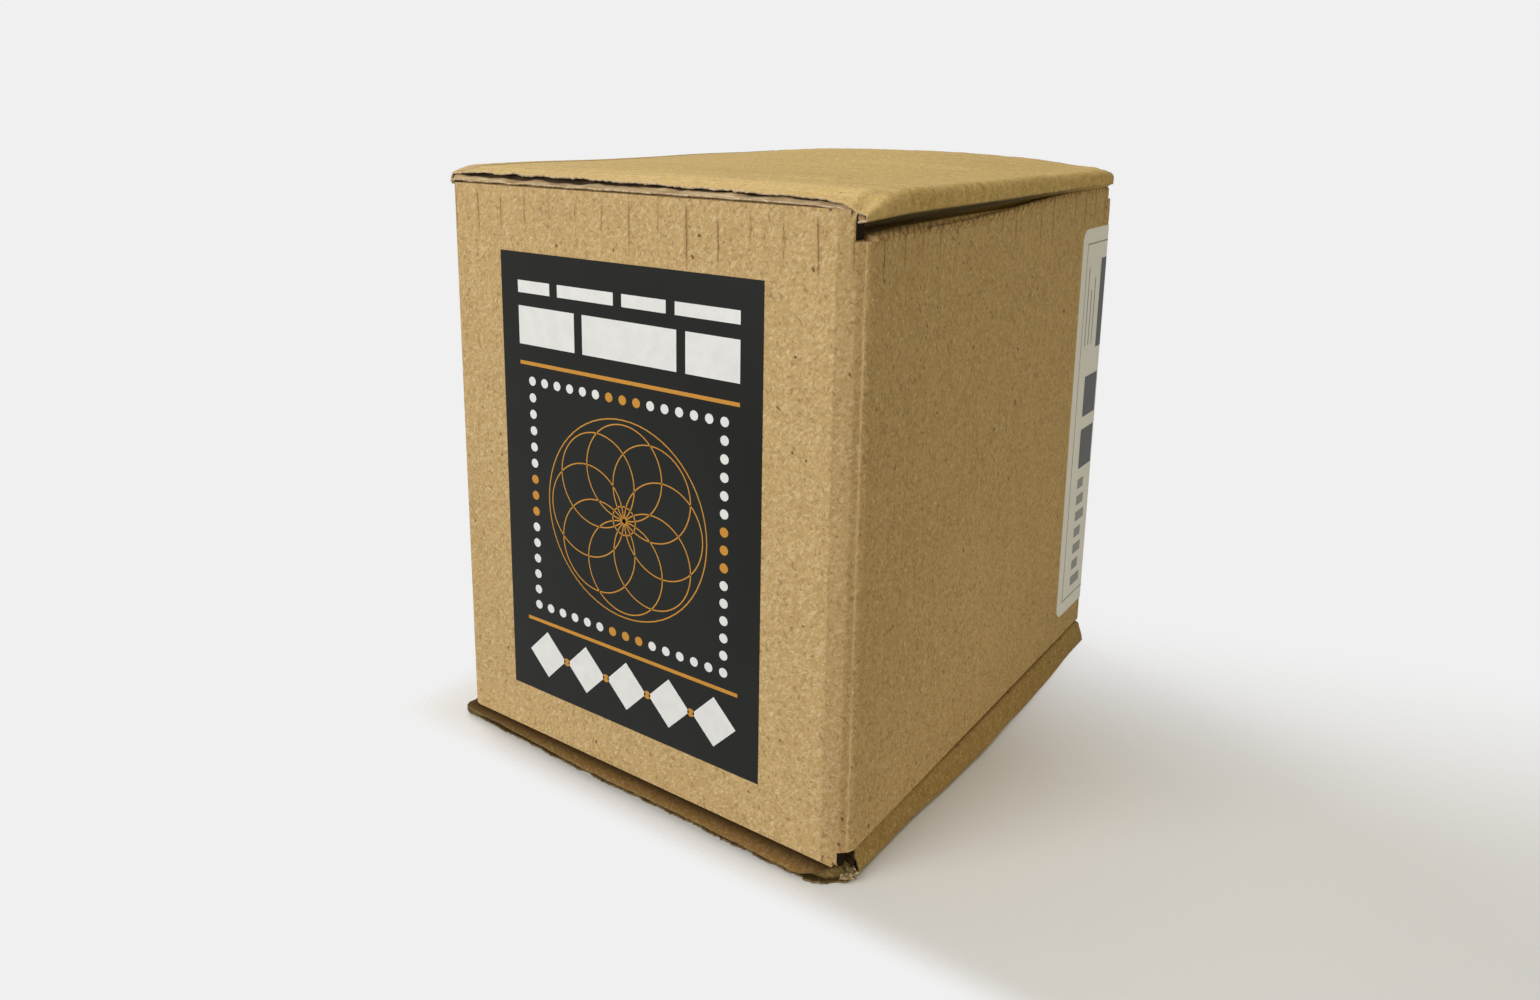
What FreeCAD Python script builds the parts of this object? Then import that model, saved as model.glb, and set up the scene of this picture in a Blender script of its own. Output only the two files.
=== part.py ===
"""Mug box: a one-piece straight-tuck carton of single-wall corrugated board.

Millimetres, +Z up. The origin is the centre of the box's footprint, on the floor that the
bottom flap lies on. The front wall faces -Y and the wall that takes both tucks faces +X.
The lid and the bottom flap are hinged on the -X wall, fold flat over the dust flaps, roll
round at the +X wall and tuck down (or up) inside it.
"""
import FreeCAD
import Part
import Sketcher
import math
import os

SIZES = {
    # the board and the four walls, outside to outside
    "box_width": 104.0,
    "box_depth": 126.0,
    "wall_height": 124.0,
    "board": 3.0,
    "corner_radius": 3.2,
    "fold_radius": 2.4,
    # flutes of the board, seen where it is cut
    "flute_pitch": 7.1,
    "flute_open_depth": 1.4,
    "flute_foot": 4.2,
    "flute_crest": 1.8,
    "medium": 0.4,
    "liner": 0.55,
    # dust flaps: length from the wall's face, clearances and taper
    "flap_length": 48.0,
    "flap_taper": 5.0,
    "flap_hinge_gap": 1.0,
    "flap_tuck_gap": 10.0,
    "flap_corner": 4.0,
    # glue tab of the tube's closing seam, inside the -X wall, whose cut edge shows at the back
    "tab_width": 30.0,
    "tab_margin": 7.0,
    "seam_edge_radius": 1.0,
    "seam_slit": 0.5,
    "seam_slit_depth": 2.0,
    "seam_fold_radius": 1.5,
    # the tuck wall's two cut edges; the upper one is a lip that leans inwards
    "slot_drop": 5.6,
    "slot_rise": 4.0,
    "lip_length": 2.2,
    "lip_lean": 45.0,
    "slit": 0.8,
    "panel_setback": 2.2,
    # what the closures clear by
    "seam_gap": 0.4,
    "tuck_gap": 1.0,
    # both hinge rolls: their rounding, and where the bulge starts past the panel's inner face
    "hinge_roll_radius": 2.1,
    "hinge_pinch": 0.75,
    # lid: hinge bulge, rolled nose, the crease pressed in under it, and tuck
    "lid_bulge": 0.8,
    "lid_nose_reach": 0.7,
    "lid_nose_height": 4.6,
    "lid_nose_radius": 3.8,
    "lid_knee_rise": 1.3,
    "lid_crease_reach": 3.0,
    "lid_crease_width": 2.0,
    "lid_crease_depth": 1.0,
    "lid_fold_depth": 3.6,
    "lid_tuck_depth": 24.0,
    "lid_tuck_lean": 9.0,
    # bottom flap: the same, and it stands a little out of the front
    "base_bulge": 1.2,
    "base_nose_reach": 3.2,
    "base_nose_lean": 2.2,
    "base_nose_height": 6.2,
    "base_nose_radius": 2.6,
    "base_crease_reach": 3.6,
    "base_crease_width": 2.25,
    "base_crease_depth": 0.3,
    "base_fold_depth": 1.0,
    "base_tuck_depth": 24.0,
    "base_tuck_lean": 7.0,
    "base_overhang": 3.2,
    "base_notch": 3.4,
    "base_notch_foot": 2.0,
    "roll_underside_radius": 1.2,
    "tuck_taper": 7.0,
    "tuck_taper_height": 10.0,
    # paper labels: one on the front wall, one on the back wall and round both its corners,
    # where its bends ease off the board's rounding
    "label_paper": 0.15,
    "front_label_width": 67.7,
    "front_label_height": 99.1,
    "front_label_shift": 2.2,
    "front_label_rise": 14.1,
    "shipping_label_length": 152.4,
    "shipping_label_height": 101.6,
    "shipping_label_rise": 13.3,
    "shipping_label_lap": 20.2,
    "shipping_label_corner": 3.0,
    "shipping_label_ease": 0.4,
}

WALL_X = "sizes.box_width / 2"
WALL_Y = "sizes.box_depth / 2"
INNER_X = "(sizes.box_width / 2 - sizes.board)"
INNER_Y = "(sizes.box_depth / 2 - sizes.board)"
FOOT = "sizes.board"
SEAT = "(sizes.board + sizes.wall_height)"
TOP = "(2 * sizes.board + sizes.wall_height)"
SLOT_TOP = "(sizes.board + sizes.wall_height - sizes.slot_drop)"
SLOT_FOOT = "(sizes.board + sizes.slot_rise)"
LIP_SIN = "sin(sizes.lip_lean * 1 deg)"
LIP_COS = "cos(sizes.lip_lean * 1 deg)"
FLUSH = "0"

document = FreeCAD.newDocument("mug_box")
sheet = document.addObject("Spreadsheet::Sheet", "sizes")
for row, (alias, value) in enumerate(SIZES.items(), start=1):
    sheet.set("A%d" % row, alias)
    sheet.set("B%d" % row, str(value))
    sheet.setAlias("B%d" % row, alias)
document.recompute()


def value_of(thing, formula):
    """The number that a formula of sheet values has now."""
    return float(thing.evalExpression(formula))


def new_body(name):
    body = document.addObject("PartDesign::Body", name)
    body.Label = name
    return body


def new_sketch(body, name, role, offset=None):
    """A sketch on one of the body's own origin planes, moved along its normal by a formula."""
    plane = [feature for feature in body.Origin.OriginFeatures if feature.Role == role][0]
    sketch = body.newObject("Sketcher::SketchObject", name)
    sketch.AttachmentSupport = [(plane, "")]
    sketch.MapMode = "FlatFace"
    if offset is not None:
        sketch.setExpression(".AttachmentOffset.Base.z", offset)
    return sketch


def bind(sketch, constraint, formula):
    """Add a constraint and let a formula of sheet values drive it."""
    sketch.setExpression("Constraints[%d]" % sketch.addConstraint(constraint), formula)


def draw_outline(sketch, corners):
    """A closed outline of straight lines whose corners are pairs of formulas."""
    points = [FreeCAD.Vector(value_of(sketch, across), value_of(sketch, up), 0) for across, up in corners]
    first = sketch.GeometryCount
    count = len(points)
    lines = [Part.LineSegment(points[i], points[(i + 1) % count]) for i in range(count)]
    sketch.addGeometry(lines, False)
    for i, (across, up) in enumerate(corners):
        sketch.addConstraint(Sketcher.Constraint("Coincident", first + i, 2, first + (i + 1) % count, 1))
        bind(sketch, Sketcher.Constraint("DistanceX", -1, 1, first + i, 1, points[i].x), across)
        bind(sketch, Sketcher.Constraint("DistanceY", -1, 1, first + i, 1, points[i].y), up)


def draw_rounded_rectangle(sketch, low_across, low_up, high_across, high_up, radius):
    """A closed rectangle between four formulas, its corners rounded by a radius."""
    left, right = value_of(sketch, low_across), value_of(sketch, high_across)
    low, high = value_of(sketch, low_up), value_of(sketch, high_up)
    reach = value_of(sketch, radius)
    sides = [
        ((left + reach, low), (right - reach, low), "Horizontal", "DistanceY", low, low_up),
        ((right, low + reach), (right, high - reach), "Vertical", "DistanceX", right, high_across),
        ((right - reach, high), (left + reach, high), "Horizontal", "DistanceY", high, high_up),
        ((left, high - reach), (left, low + reach), "Vertical", "DistanceX", left, low_across),
    ]
    centres = [(right - reach, low + reach), (right - reach, high - reach),
               (left + reach, high - reach), (left + reach, low + reach)]
    axis = FreeCAD.Vector(0, 0, 1)
    first = sketch.GeometryCount
    for turn, (side, centre) in enumerate(zip(sides, centres)):
        sketch.addGeometry(Part.LineSegment(FreeCAD.Vector(*side[0], 0), FreeCAD.Vector(*side[1], 0)), False)
        circle = Part.Circle(FreeCAD.Vector(*centre, 0), axis, reach)
        start = (turn - 1) * math.pi / 2
        sketch.addGeometry(Part.ArcOfCircle(circle, start, start + math.pi / 2), False)
    for turn, (start, end, lie, measure, value, formula) in enumerate(sides):
        line = first + 2 * turn
        arc = line + 1
        following = first + 2 * ((turn + 1) % 4)
        sketch.addConstraint(Sketcher.Constraint("Tangent", line, 2, arc, 1))
        sketch.addConstraint(Sketcher.Constraint("Tangent", arc, 2, following, 1))
        sketch.addConstraint(Sketcher.Constraint(lie, line))
        bind(sketch, Sketcher.Constraint(measure, -1, 1, line, 1, value), formula)
        bind(sketch, Sketcher.Constraint("Radius", arc, reach), radius)


def must_hold(feature):
    """Stop at once where a feature has failed."""
    if "Invalid" in feature.State or "Error" in feature.State or feature.Shape.isNull():
        raise RuntimeError("%s failed: %s" % (feature.Label, feature.State))


def rectangle(low_across, low_up, high_across, high_up):
    return [(low_across, low_up), (high_across, low_up), (high_across, high_up), (low_across, high_up)]


def pad(body, name, sketch, length, symmetric=False):
    feature = body.newObject("PartDesign::Pad", name)
    feature.Profile = sketch
    feature.SideType = "Symmetric" if symmetric else "One side"
    feature.setExpression("Length", length)
    body.Tip = feature
    document.recompute()
    must_hold(feature)
    return feature


def cut(body, name, sketch, length):
    """A pocket that reaches half its length to each side of its sketch."""
    before = body.Shape.Volume
    feature = body.newObject("PartDesign::Pocket", name)
    feature.Profile = sketch
    feature.SideType = "Symmetric"
    feature.setExpression("Length", length)
    body.Tip = feature
    document.recompute()
    if not body.Shape.Volume < before:
        raise RuntimeError("%s cuts nothing" % name)
    return feature


def edges_at(shape, spots):
    """The names of the edges that run through the given points."""
    names = []
    for index, edge in enumerate(shape.Edges, start=1):
        if any(edge.distToShape(Part.Vertex(spot))[0] < 0.01 for spot in spots):
            names.append("Edge%d" % index)
    return names


def round_edges(body, name, spots, radius):
    """Fillet the edges through points, each given as three formulas."""
    base = body.Tip
    points = [FreeCAD.Vector(*[value_of(sheet, formula) for formula in spot]) for spot in spots]
    names = edges_at(base.Shape, points)
    if len(names) < len(spots):
        raise RuntimeError("%s found %d of %d edges" % (name, len(names), len(spots)))
    feature = body.newObject("PartDesign::Fillet", name)
    feature.Base = (base, names)
    feature.setExpression("Radius", radius)
    body.Tip = feature
    document.recompute()
    must_hold(feature)
    return feature


def flute_count(width):
    """How many whole flutes open along a cut edge that is as wide as a formula says."""
    return "floor((" + width + " - sizes.flute_foot - 2 * sizes.liner) / sizes.flute_pitch + 0.5)"


def flute_ends(middle, count, face, inwards):
    """The two half flutes of the first pitch on a cut edge, as outlines of (along, through) formulas.

    face is the outside liner's face and inwards the sign that leads from it into the board.
    """
    first = "(" + middle + " - (" + count + " - 0.5) * sizes.flute_pitch / 2)"
    second = "(" + first + " + sizes.flute_pitch / 2)"
    outer = face + inwards + "sizes.liner"
    inner = face + inwards + "(sizes.board - sizes.liner)"
    outer_crest = face + inwards + "(sizes.liner + sizes.medium)"
    inner_crest = face + inwards + "(sizes.board - sizes.liner - sizes.medium)"
    outlines = []
    for start, foot, crest in ((first, outer, inner_crest), (second, inner, outer_crest)):
        outlines.append([
            (start + " - sizes.flute_foot / 2", foot),
            (start + " + sizes.flute_foot / 2", foot),
            (start + " + sizes.flute_crest / 2", crest),
            (start + " - sizes.flute_crest / 2", crest),
        ])
    return outlines


def repeat_flutes(body, name, feature, sketch, axis, count):
    """Repeat a cut at the flute pitch along an axis of its sketch."""
    before = body.Shape.Volume
    pattern = body.newObject("PartDesign::LinearPattern", name)
    pattern.Originals = [feature]
    pattern.Direction = (sketch, [axis])
    pattern.setExpression("Length", "(" + count + " - 1) * sizes.flute_pitch")
    pattern.setExpression("Occurrences", count)
    body.Tip = pattern
    document.recompute()
    must_hold(pattern)
    if not body.Shape.Volume < before:
        raise RuntimeError("%s repeats nothing" % name)
    return pattern


# ---------------------------------------------------------------------------------------------
# carton: the tube of four walls with its glue tab and the four dust flaps, one folded sheet


def add_tube(body):
    """Four walls round the box: three vertical folds, and the seam's cut edge at the back."""
    sketch = new_sketch(body, "tube_plan", "XY_Plane", FOOT + " + sizes.seam_gap")
    draw_outline(sketch, rectangle("-" + WALL_X, "-" + WALL_Y, WALL_X, WALL_Y))
    draw_outline(sketch, rectangle("-" + INNER_X, "-" + INNER_Y, INNER_X, INNER_Y))
    pad(body, "tube", sketch, "sizes.wall_height - 2 * sizes.seam_gap")
    middle = SEAT + " / 2"
    seam = [("-" + WALL_X, WALL_Y, middle)]
    folds = [("-" + WALL_X, "-" + WALL_Y, middle), (WALL_X, "-" + WALL_Y, middle), (WALL_X, WALL_Y, middle)]
    inner = [(x + INNER_X, y + INNER_Y, middle) for x in ("-", "") for y in ("-", "")]
    round_edges(body, "outer_folds", folds, "sizes.corner_radius")
    round_edges(body, "seam_edge", seam, "sizes.seam_edge_radius")
    round_edges(body, "inner_folds", inner, "sizes.corner_radius - sizes.board")


def cut_tuck_wall(body):
    """The tuck wall and its two corner folds end short of the lid and of the bottom flap."""
    sketch = new_sketch(body, "slot_profile", "XZ_Plane")
    inner = WALL_X + " - sizes.corner_radius"
    outer = WALL_X + " + sizes.board"
    draw_outline(sketch, rectangle(inner, SLOT_TOP, outer, TOP))
    draw_outline(sketch, rectangle(inner, "-" + FOOT, outer, SLOT_FOOT))
    cut(body, "slots", sketch, "sizes.box_depth + 2 * sizes.board")


def add_flapped_walls(body):
    """Front and back walls with a strip of board folded over between them, above and below."""
    sketch = new_sketch(body, "flapped_walls_profile", "YZ_Plane",
                        "(sizes.corner_radius - sizes.panel_setback) / 2")
    draw_rounded_rectangle(sketch, "-" + WALL_Y, FOOT, WALL_Y, SEAT, "sizes.fold_radius")
    draw_outline(sketch, rectangle("-" + INNER_Y, FOOT + " + sizes.board", INNER_Y, SEAT + " - sizes.board"))
    pad(body, "flapped_walls", sketch, "sizes.box_width - sizes.corner_radius - sizes.panel_setback",
        symmetric=True)


def cut_dust_flaps(body):
    """Leave of each strip two flaps, tapered to their free edges and clear of the tucks."""
    free_y = "(" + WALL_Y + " - sizes.flap_length)"
    hinge_x = "-(" + INNER_X + " - sizes.flap_hinge_gap)"
    tuck_x = "(" + WALL_X + " - sizes.flap_tuck_gap)"
    hinge_tip = hinge_x + " + sizes.flap_taper"
    tuck_tip = tuck_x + " - sizes.flap_taper"
    for name, level in (("top_flaps", SEAT), ("foot_flaps", FOOT)):
        sketch = new_sketch(body, name + "_plan", "XY_Plane", level)
        draw_outline(sketch, [
            ("-" + INNER_X, "-" + INNER_Y),
            (hinge_x, "-" + INNER_Y),
            (hinge_tip, "-" + free_y),
            (tuck_tip, "-" + free_y),
            (tuck_x, "-" + INNER_Y),
            (WALL_X, "-" + INNER_Y),
            (WALL_X, INNER_Y),
            (tuck_x, INNER_Y),
            (tuck_tip, free_y),
            (hinge_tip, free_y),
            (hinge_x, INNER_Y),
            ("-" + INNER_X, INNER_Y),
        ])
        cut(body, name, sketch, "2 * sizes.board")
    corners = [(x, y + free_y, z) for x in (hinge_tip, tuck_tip) for y in ("-", "")
               for z in (SEAT + " - sizes.board / 2", "1.5 * sizes.board")]
    round_edges(body, "flap_corners", corners, "sizes.flap_corner")

    middle = "(" + hinge_tip + " + " + tuck_tip + ") / 2"
    count = flute_count(tuck_tip + " - (" + hinge_tip + ") - 2 * sizes.flap_corner")
    sketch = new_sketch(body, "flap_flute_ends", "XZ_Plane")
    for outline in flute_ends(middle, count, SEAT, " - ") + flute_ends(middle, count, FOOT, " + "):
        draw_outline(sketch, outline)
    first = cut(body, "flap_flute", sketch, "2 * (" + free_y + " + sizes.flute_open_depth)")
    repeat_flutes(body, "flap_flutes", first, sketch, "H_Axis", count)


def add_lip(body):
    """The top of the tuck wall, bent inwards along a crease by the tuck."""
    sketch = new_sketch(body, "lip_profile", "XZ_Plane")
    out_x = WALL_X + " - sizes.lip_length * " + LIP_SIN
    out_z = SLOT_TOP + " + sizes.lip_length * " + LIP_COS
    draw_outline(sketch, [
        (WALL_X, SLOT_TOP + " - sizes.board"),
        (WALL_X, SLOT_TOP),
        (out_x, out_z),
        (out_x + " - sizes.board * " + LIP_COS, out_z + " - sizes.board * " + LIP_SIN),
        (INNER_X, SLOT_TOP + " - sizes.board * tan(sizes.lip_lean * 0.5 deg)"),
        (INNER_X, SLOT_TOP + " - sizes.board"),
    ])
    pad(body, "lip", sketch, "2 * (" + INNER_Y + " - sizes.slit)", symmetric=True)


def add_hinge_wall(body):
    """The wall that carries the lid and the bottom flap, up to both of their folds."""
    sketch = new_sketch(body, "hinge_wall_plan", "XY_Plane", FOOT)
    reach = "(" + WALL_Y + " - sizes.corner_radius)"
    draw_outline(sketch, rectangle("-" + WALL_X, "-" + reach, "-" + INNER_X, reach))
    pad(body, "hinge_wall", sketch, "sizes.wall_height")


def add_glue_tab(body):
    """The tab that closes the tube, glued to the inside of the hinge wall at the back."""
    sketch = new_sketch(body, "tab_plan", "XY_Plane", FOOT + " + sizes.tab_margin")
    draw_outline(sketch, rectangle("-" + INNER_X + " - sizes.board / 2", INNER_Y + " - sizes.tab_width",
                                   "-" + INNER_X + " + sizes.board", INNER_Y + " + sizes.board / 2"))
    pad(body, "glue_tab", sketch, "sizes.wall_height - 2 * sizes.tab_margin")


def cut_seam(body):
    """At the back the hinge wall ends in a cut edge, beside the fold that leads into the tab."""
    sketch = new_sketch(body, "seam_plan", "XY_Plane", SEAT + " / 2")
    beyond = WALL_Y + " + sizes.board"
    fold_x = "-" + INNER_X + " + sizes.seam_slit"
    draw_outline(sketch, rectangle("-" + INNER_X, WALL_Y + " - sizes.seam_slit_depth", fold_x, beyond))
    draw_outline(sketch, rectangle("-" + WALL_X + " + sizes.liner", WALL_Y + " - sizes.flute_open_depth",
                                   "-" + INNER_X + " - sizes.liner", beyond))
    cut(body, "seam", sketch, "2 * sizes.box_depth")
    round_edges(body, "seam_fold", [(fold_x, WALL_Y, SEAT + " / 2")], "sizes.seam_fold_radius")


def make_carton():
    body = new_body("carton")
    add_tube(body)
    cut_tuck_wall(body)
    add_flapped_walls(body)
    cut_dust_flaps(body)
    add_lip(body)
    add_hinge_wall(body)
    add_glue_tab(body)
    cut_seam(body)
    return body


# ---------------------------------------------------------------------------------------------
# closures: a panel with a hinge bulge, a rolled nose folded back under itself, and a tuck


def add_closure_profile(body, corners, front_overhang):
    """The closure's section, drawn seen from the front, along the whole depth of the box."""
    sketch = new_sketch(body, body.Label + "_profile", "XZ_Plane", front_overhang + " / 2")
    draw_outline(sketch, corners)
    pad(body, body.Label + "_sheet", sketch, "sizes.box_depth + " + front_overhang, symmetric=True)


def round_profile(body, name, corner, radius):
    """Round the long edge that runs through a corner of the section."""
    across, up = corner
    round_edges(body, name, [(across, "0", up)], radius)


def trim_tuck(body, panel_level, tip_level, taper_level):
    """Cut the roll and the tuck back between the front and back walls, and taper the tuck."""
    sketch = new_sketch(body, body.Label + "_trim", "YZ_Plane", WALL_X + " - sizes.flap_tuck_gap")
    inside = "(" + INNER_Y + " - sizes.slit)"
    outside = "(" + WALL_Y + " + 2 * sizes.board)"
    for sign in ("-", ""):
        draw_outline(sketch, [
            (sign + outside, panel_level),
            (sign + inside, panel_level),
            (sign + inside, taper_level),
            (sign + "(" + inside + " - sizes.tuck_taper)", tip_level),
            (sign + outside, tip_level),
        ])
    cut(body, body.Label + "_trimmed", sketch,
        "2 * (sizes.flap_tuck_gap - sizes.panel_setback + sizes.seam_gap)")


def open_cut_edges(body, low_level, front_overhang):
    """The front and back edges are cut along a flute, which lies open between the two liners."""
    for side, place in (("front", WALL_Y + " + " + front_overhang), ("back", "-" + WALL_Y)):
        sketch = new_sketch(body, body.Label + "_" + side + "_flute", "XZ_Plane", place)
        draw_outline(sketch, rectangle("-" + INNER_X, low_level + " + sizes.liner",
                                       INNER_X + " - sizes.board", low_level + " + sizes.board - sizes.liner"))
        cut(body, body.Label + "_" + side + "_edge", sketch, "2 * sizes.flute_open_depth")


def open_tuck_tip(body, tip_x, tip_z):
    """The flutes run down the tuck and open at its tip, over the width that the taper leaves."""
    count = flute_count("2 * (" + INNER_Y + " - sizes.slit - sizes.tuck_taper)")
    sketch = new_sketch(body, body.Label + "_flute_ends", "XY_Plane", tip_z)
    for outline in flute_ends("0", count, tip_x, " - "):
        draw_outline(sketch, [(through, along) for along, through in outline])
    first = cut(body, body.Label + "_flute", sketch, "2 * sizes.flute_open_depth")
    repeat_flutes(body, body.Label + "_flutes", first, sketch, "V_Axis", count)


def make_lid():
    body = new_body("lid")
    lip_x = "(" + WALL_X + " - sizes.lip_length * " + LIP_SIN + " - sizes.board * " + LIP_COS + ")"
    lip_z = "(" + SLOT_TOP + " + sizes.lip_length * " + LIP_COS + " - sizes.board * " + LIP_SIN + ")"
    nose_x = WALL_X + " + sizes.lid_nose_reach"
    tip_z = "(" + TOP + " - sizes.lid_tuck_depth)"
    slope = "tan(sizes.lid_tuck_lean * 1 deg)"
    knee = (lip_x + " - sizes.tuck_gap", lip_z + " + sizes.lid_knee_rise")
    tip_x = knee[0] + " - (" + knee[1] + " - " + tip_z + ") * " + slope
    inner_z = "(" + SEAT + " - sizes.lid_fold_depth)"
    crease_x = WALL_X + " - sizes.lid_crease_reach"
    hinge_edge = "-(" + WALL_X + " + sizes.lid_bulge)"
    hinge_top = (hinge_edge, TOP)
    nose_top = (nose_x, TOP)
    nose_foot = (nose_x, TOP + " - sizes.lid_nose_height")
    corners = [
        hinge_top,
        nose_top,
        nose_foot,
        knee,
        (tip_x, tip_z),
        (tip_x + " - sizes.board", tip_z),
        (tip_x + " - sizes.board + (" + inner_z + " - " + tip_z + ") * " + slope, inner_z),
        (crease_x, SEAT + " - sizes.lid_crease_depth"),
        (crease_x + " - sizes.lid_crease_width", SEAT),
        ("-" + WALL_X, SEAT),
        (hinge_edge, SEAT + " + sizes.hinge_pinch"),
    ]
    add_closure_profile(body, corners, FLUSH)
    round_profile(body, "lid_hinge_roll", hinge_top, "sizes.hinge_roll_radius")
    round_profile(body, "lid_nose", nose_top, "sizes.lid_nose_radius")
    round_profile(body, "lid_nose_underside", nose_foot, "sizes.roll_underside_radius")
    round_profile(body, "lid_knee", knee, "sizes.board")
    trim_tuck(body, SEAT, tip_z + " - sizes.seam_gap", tip_z + " + sizes.tuck_taper_height")
    open_cut_edges(body, SEAT, FLUSH)
    open_tuck_tip(body, tip_x, tip_z)
    return body


def cut_roll_ends(body):
    """The roll is cut back at both ends, which leaves a notch under the corner folds."""
    sketch = new_sketch(body, "roll_ends_profile", "YZ_Plane", WALL_X + " + sizes.base_nose_reach")
    inside = "(" + WALL_Y + " - sizes.base_notch)"
    outside = "(" + WALL_Y + " + 2 * sizes.board)"
    for sign in ("-", ""):
        draw_outline(sketch, rectangle(sign + inside, "sizes.base_notch_foot",
                                       sign + outside, "sizes.base_nose_height + sizes.board"))
    cut(body, "roll_ends", sketch, "2 * (sizes.base_nose_reach + sizes.panel_setback - sizes.seam_gap)")


def make_bottom_flap():
    body = new_body("bottom_flap")
    nose_x = WALL_X + " + sizes.base_nose_reach"
    crease_x = nose_x + " - sizes.base_crease_reach"
    tip_z = "sizes.base_tuck_depth"
    slope = "tan(sizes.base_tuck_lean * 1 deg)"
    knee = (INNER_X + " - sizes.tuck_gap", SLOT_FOOT + " - sizes.seam_gap")
    tip_x = knee[0] + " - (" + tip_z + " - (" + knee[1] + ")) * " + slope
    inner_z = "(" + FOOT + " + sizes.base_fold_depth)"
    hinge_edge = "-(" + WALL_X + " + sizes.base_bulge)"
    hinge_foot = (hinge_edge, "0")
    nose_bottom = (nose_x, "0")
    nose_top = (nose_x + " - sizes.base_nose_lean", "sizes.base_nose_height")
    corners = [
        hinge_foot,
        nose_bottom,
        nose_top,
        knee,
        (tip_x, tip_z),
        (tip_x + " - sizes.board", tip_z),
        (tip_x + " - sizes.board + (" + tip_z + " - " + inner_z + ") * " + slope, inner_z),
        (crease_x, FOOT + " + sizes.base_crease_depth"),
        (crease_x + " - sizes.base_crease_width", FOOT),
        ("-" + WALL_X, FOOT),
        (hinge_edge, FOOT + " - sizes.hinge_pinch"),
    ]
    add_closure_profile(body, corners, "sizes.base_overhang")
    round_profile(body, "base_hinge_roll", hinge_foot, "sizes.hinge_roll_radius")
    round_profile(body, "base_nose", nose_bottom, "sizes.base_nose_radius")
    round_profile(body, "base_nose_top", nose_top, "sizes.roll_underside_radius")
    round_profile(body, "base_knee", knee, "sizes.board")
    trim_tuck(body, FOOT, tip_z + " + sizes.seam_gap", tip_z + " - sizes.tuck_taper_height")
    cut_roll_ends(body)
    open_cut_edges(body, "0", "sizes.base_overhang")
    open_tuck_tip(body, tip_x, tip_z)
    return body


# ---------------------------------------------------------------------------------------------
# labels: paper stuck flat on the board


def make_front_label():
    body = new_body("front_label")
    sketch = new_sketch(body, "front_label_outline", "XZ_Plane", WALL_Y)
    low = "sizes.front_label_rise"
    draw_outline(sketch, rectangle("-sizes.front_label_width / 2 - sizes.front_label_shift", low,
                                   "sizes.front_label_width / 2 - sizes.front_label_shift",
                                   low + " + sizes.front_label_height"))
    pad(body, "front_label_sheet", sketch, "sizes.label_paper")
    return body


def make_shipping_label():
    """One label centred on the back wall, its two ends lapped round the corners."""
    body = new_body("shipping_label")
    outer_x = "(" + WALL_X + " + sizes.label_paper)"
    outer_y = "(" + WALL_Y + " + sizes.label_paper)"
    sketch = new_sketch(body, "shipping_label_plan", "XY_Plane", "sizes.shipping_label_rise")
    draw_outline(sketch, rectangle("-" + outer_x, "-" + outer_y, outer_x, outer_y))
    draw_outline(sketch, rectangle("-" + WALL_X, "-" + WALL_Y, WALL_X, WALL_Y))
    pad(body, "shipping_label_wrap", sketch, "sizes.shipping_label_height")
    middle = "sizes.shipping_label_rise + sizes.shipping_label_height / 2"
    folds = [("-", "-"), ("", "-"), ("", "")]
    outer = [(x + outer_x, y + outer_y, middle) for x, y in folds]
    inner = [(x + WALL_X, y + WALL_Y, middle) for x, y in folds]
    bend = "sizes.corner_radius - sizes.shipping_label_ease"
    seam_bend = "sizes.seam_edge_radius - sizes.shipping_label_ease"
    round_edges(body, "label_outer_bends", outer, bend + " + sizes.label_paper")
    round_edges(body, "label_inner_bends", inner, bend)
    round_edges(body, "label_seam_bend", [("-" + outer_x, outer_y, middle)], seam_bend + " + sizes.label_paper")
    round_edges(body, "label_seam_inside", [("-" + WALL_X, WALL_Y, middle)], seam_bend)

    tuck_end = "(" + WALL_Y + " - sizes.shipping_label_lap)"
    radii = "(sizes.corner_radius + sizes.seam_edge_radius)"
    wrapped = "(sizes.shipping_label_lap - sizes.corner_radius + pi / 2 * " + radii \
              + " + sizes.box_width - " + radii + ")"
    hinge_end = "(" + WALL_Y + " - sizes.seam_edge_radius - (sizes.shipping_label_length - " + wrapped + "))"
    sketch = new_sketch(body, "shipping_label_ends", "XY_Plane", middle)
    far_x = "(" + WALL_X + " + sizes.board)"
    far_y = "(" + WALL_Y + " + sizes.board)"
    draw_outline(sketch, [
        ("-" + far_x, "-" + far_y),
        (far_x, "-" + far_y),
        (far_x, tuck_end),
        ("0", tuck_end),
        ("0", hinge_end),
        ("-" + far_x, hinge_end),
    ])
    cut(body, "shipping_label_sheet", sketch, "2 * sizes.shipping_label_height")
    low = "sizes.shipping_label_rise"
    high = "sizes.shipping_label_rise + sizes.shipping_label_height"
    ends = [(WALL_X + " + sizes.label_paper / 2", tuck_end),
            ("-" + WALL_X + " - sizes.label_paper / 2", hinge_end)]
    spots = [(x, y, z) for x, y in ends for z in (low, high)]
    round_edges(body, "shipping_label_corners", spots, "sizes.shipping_label_corner")
    return body


nodes = [make_carton(), make_lid(), make_bottom_flap(), make_front_label(), make_shipping_label()]
document.recompute()

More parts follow.
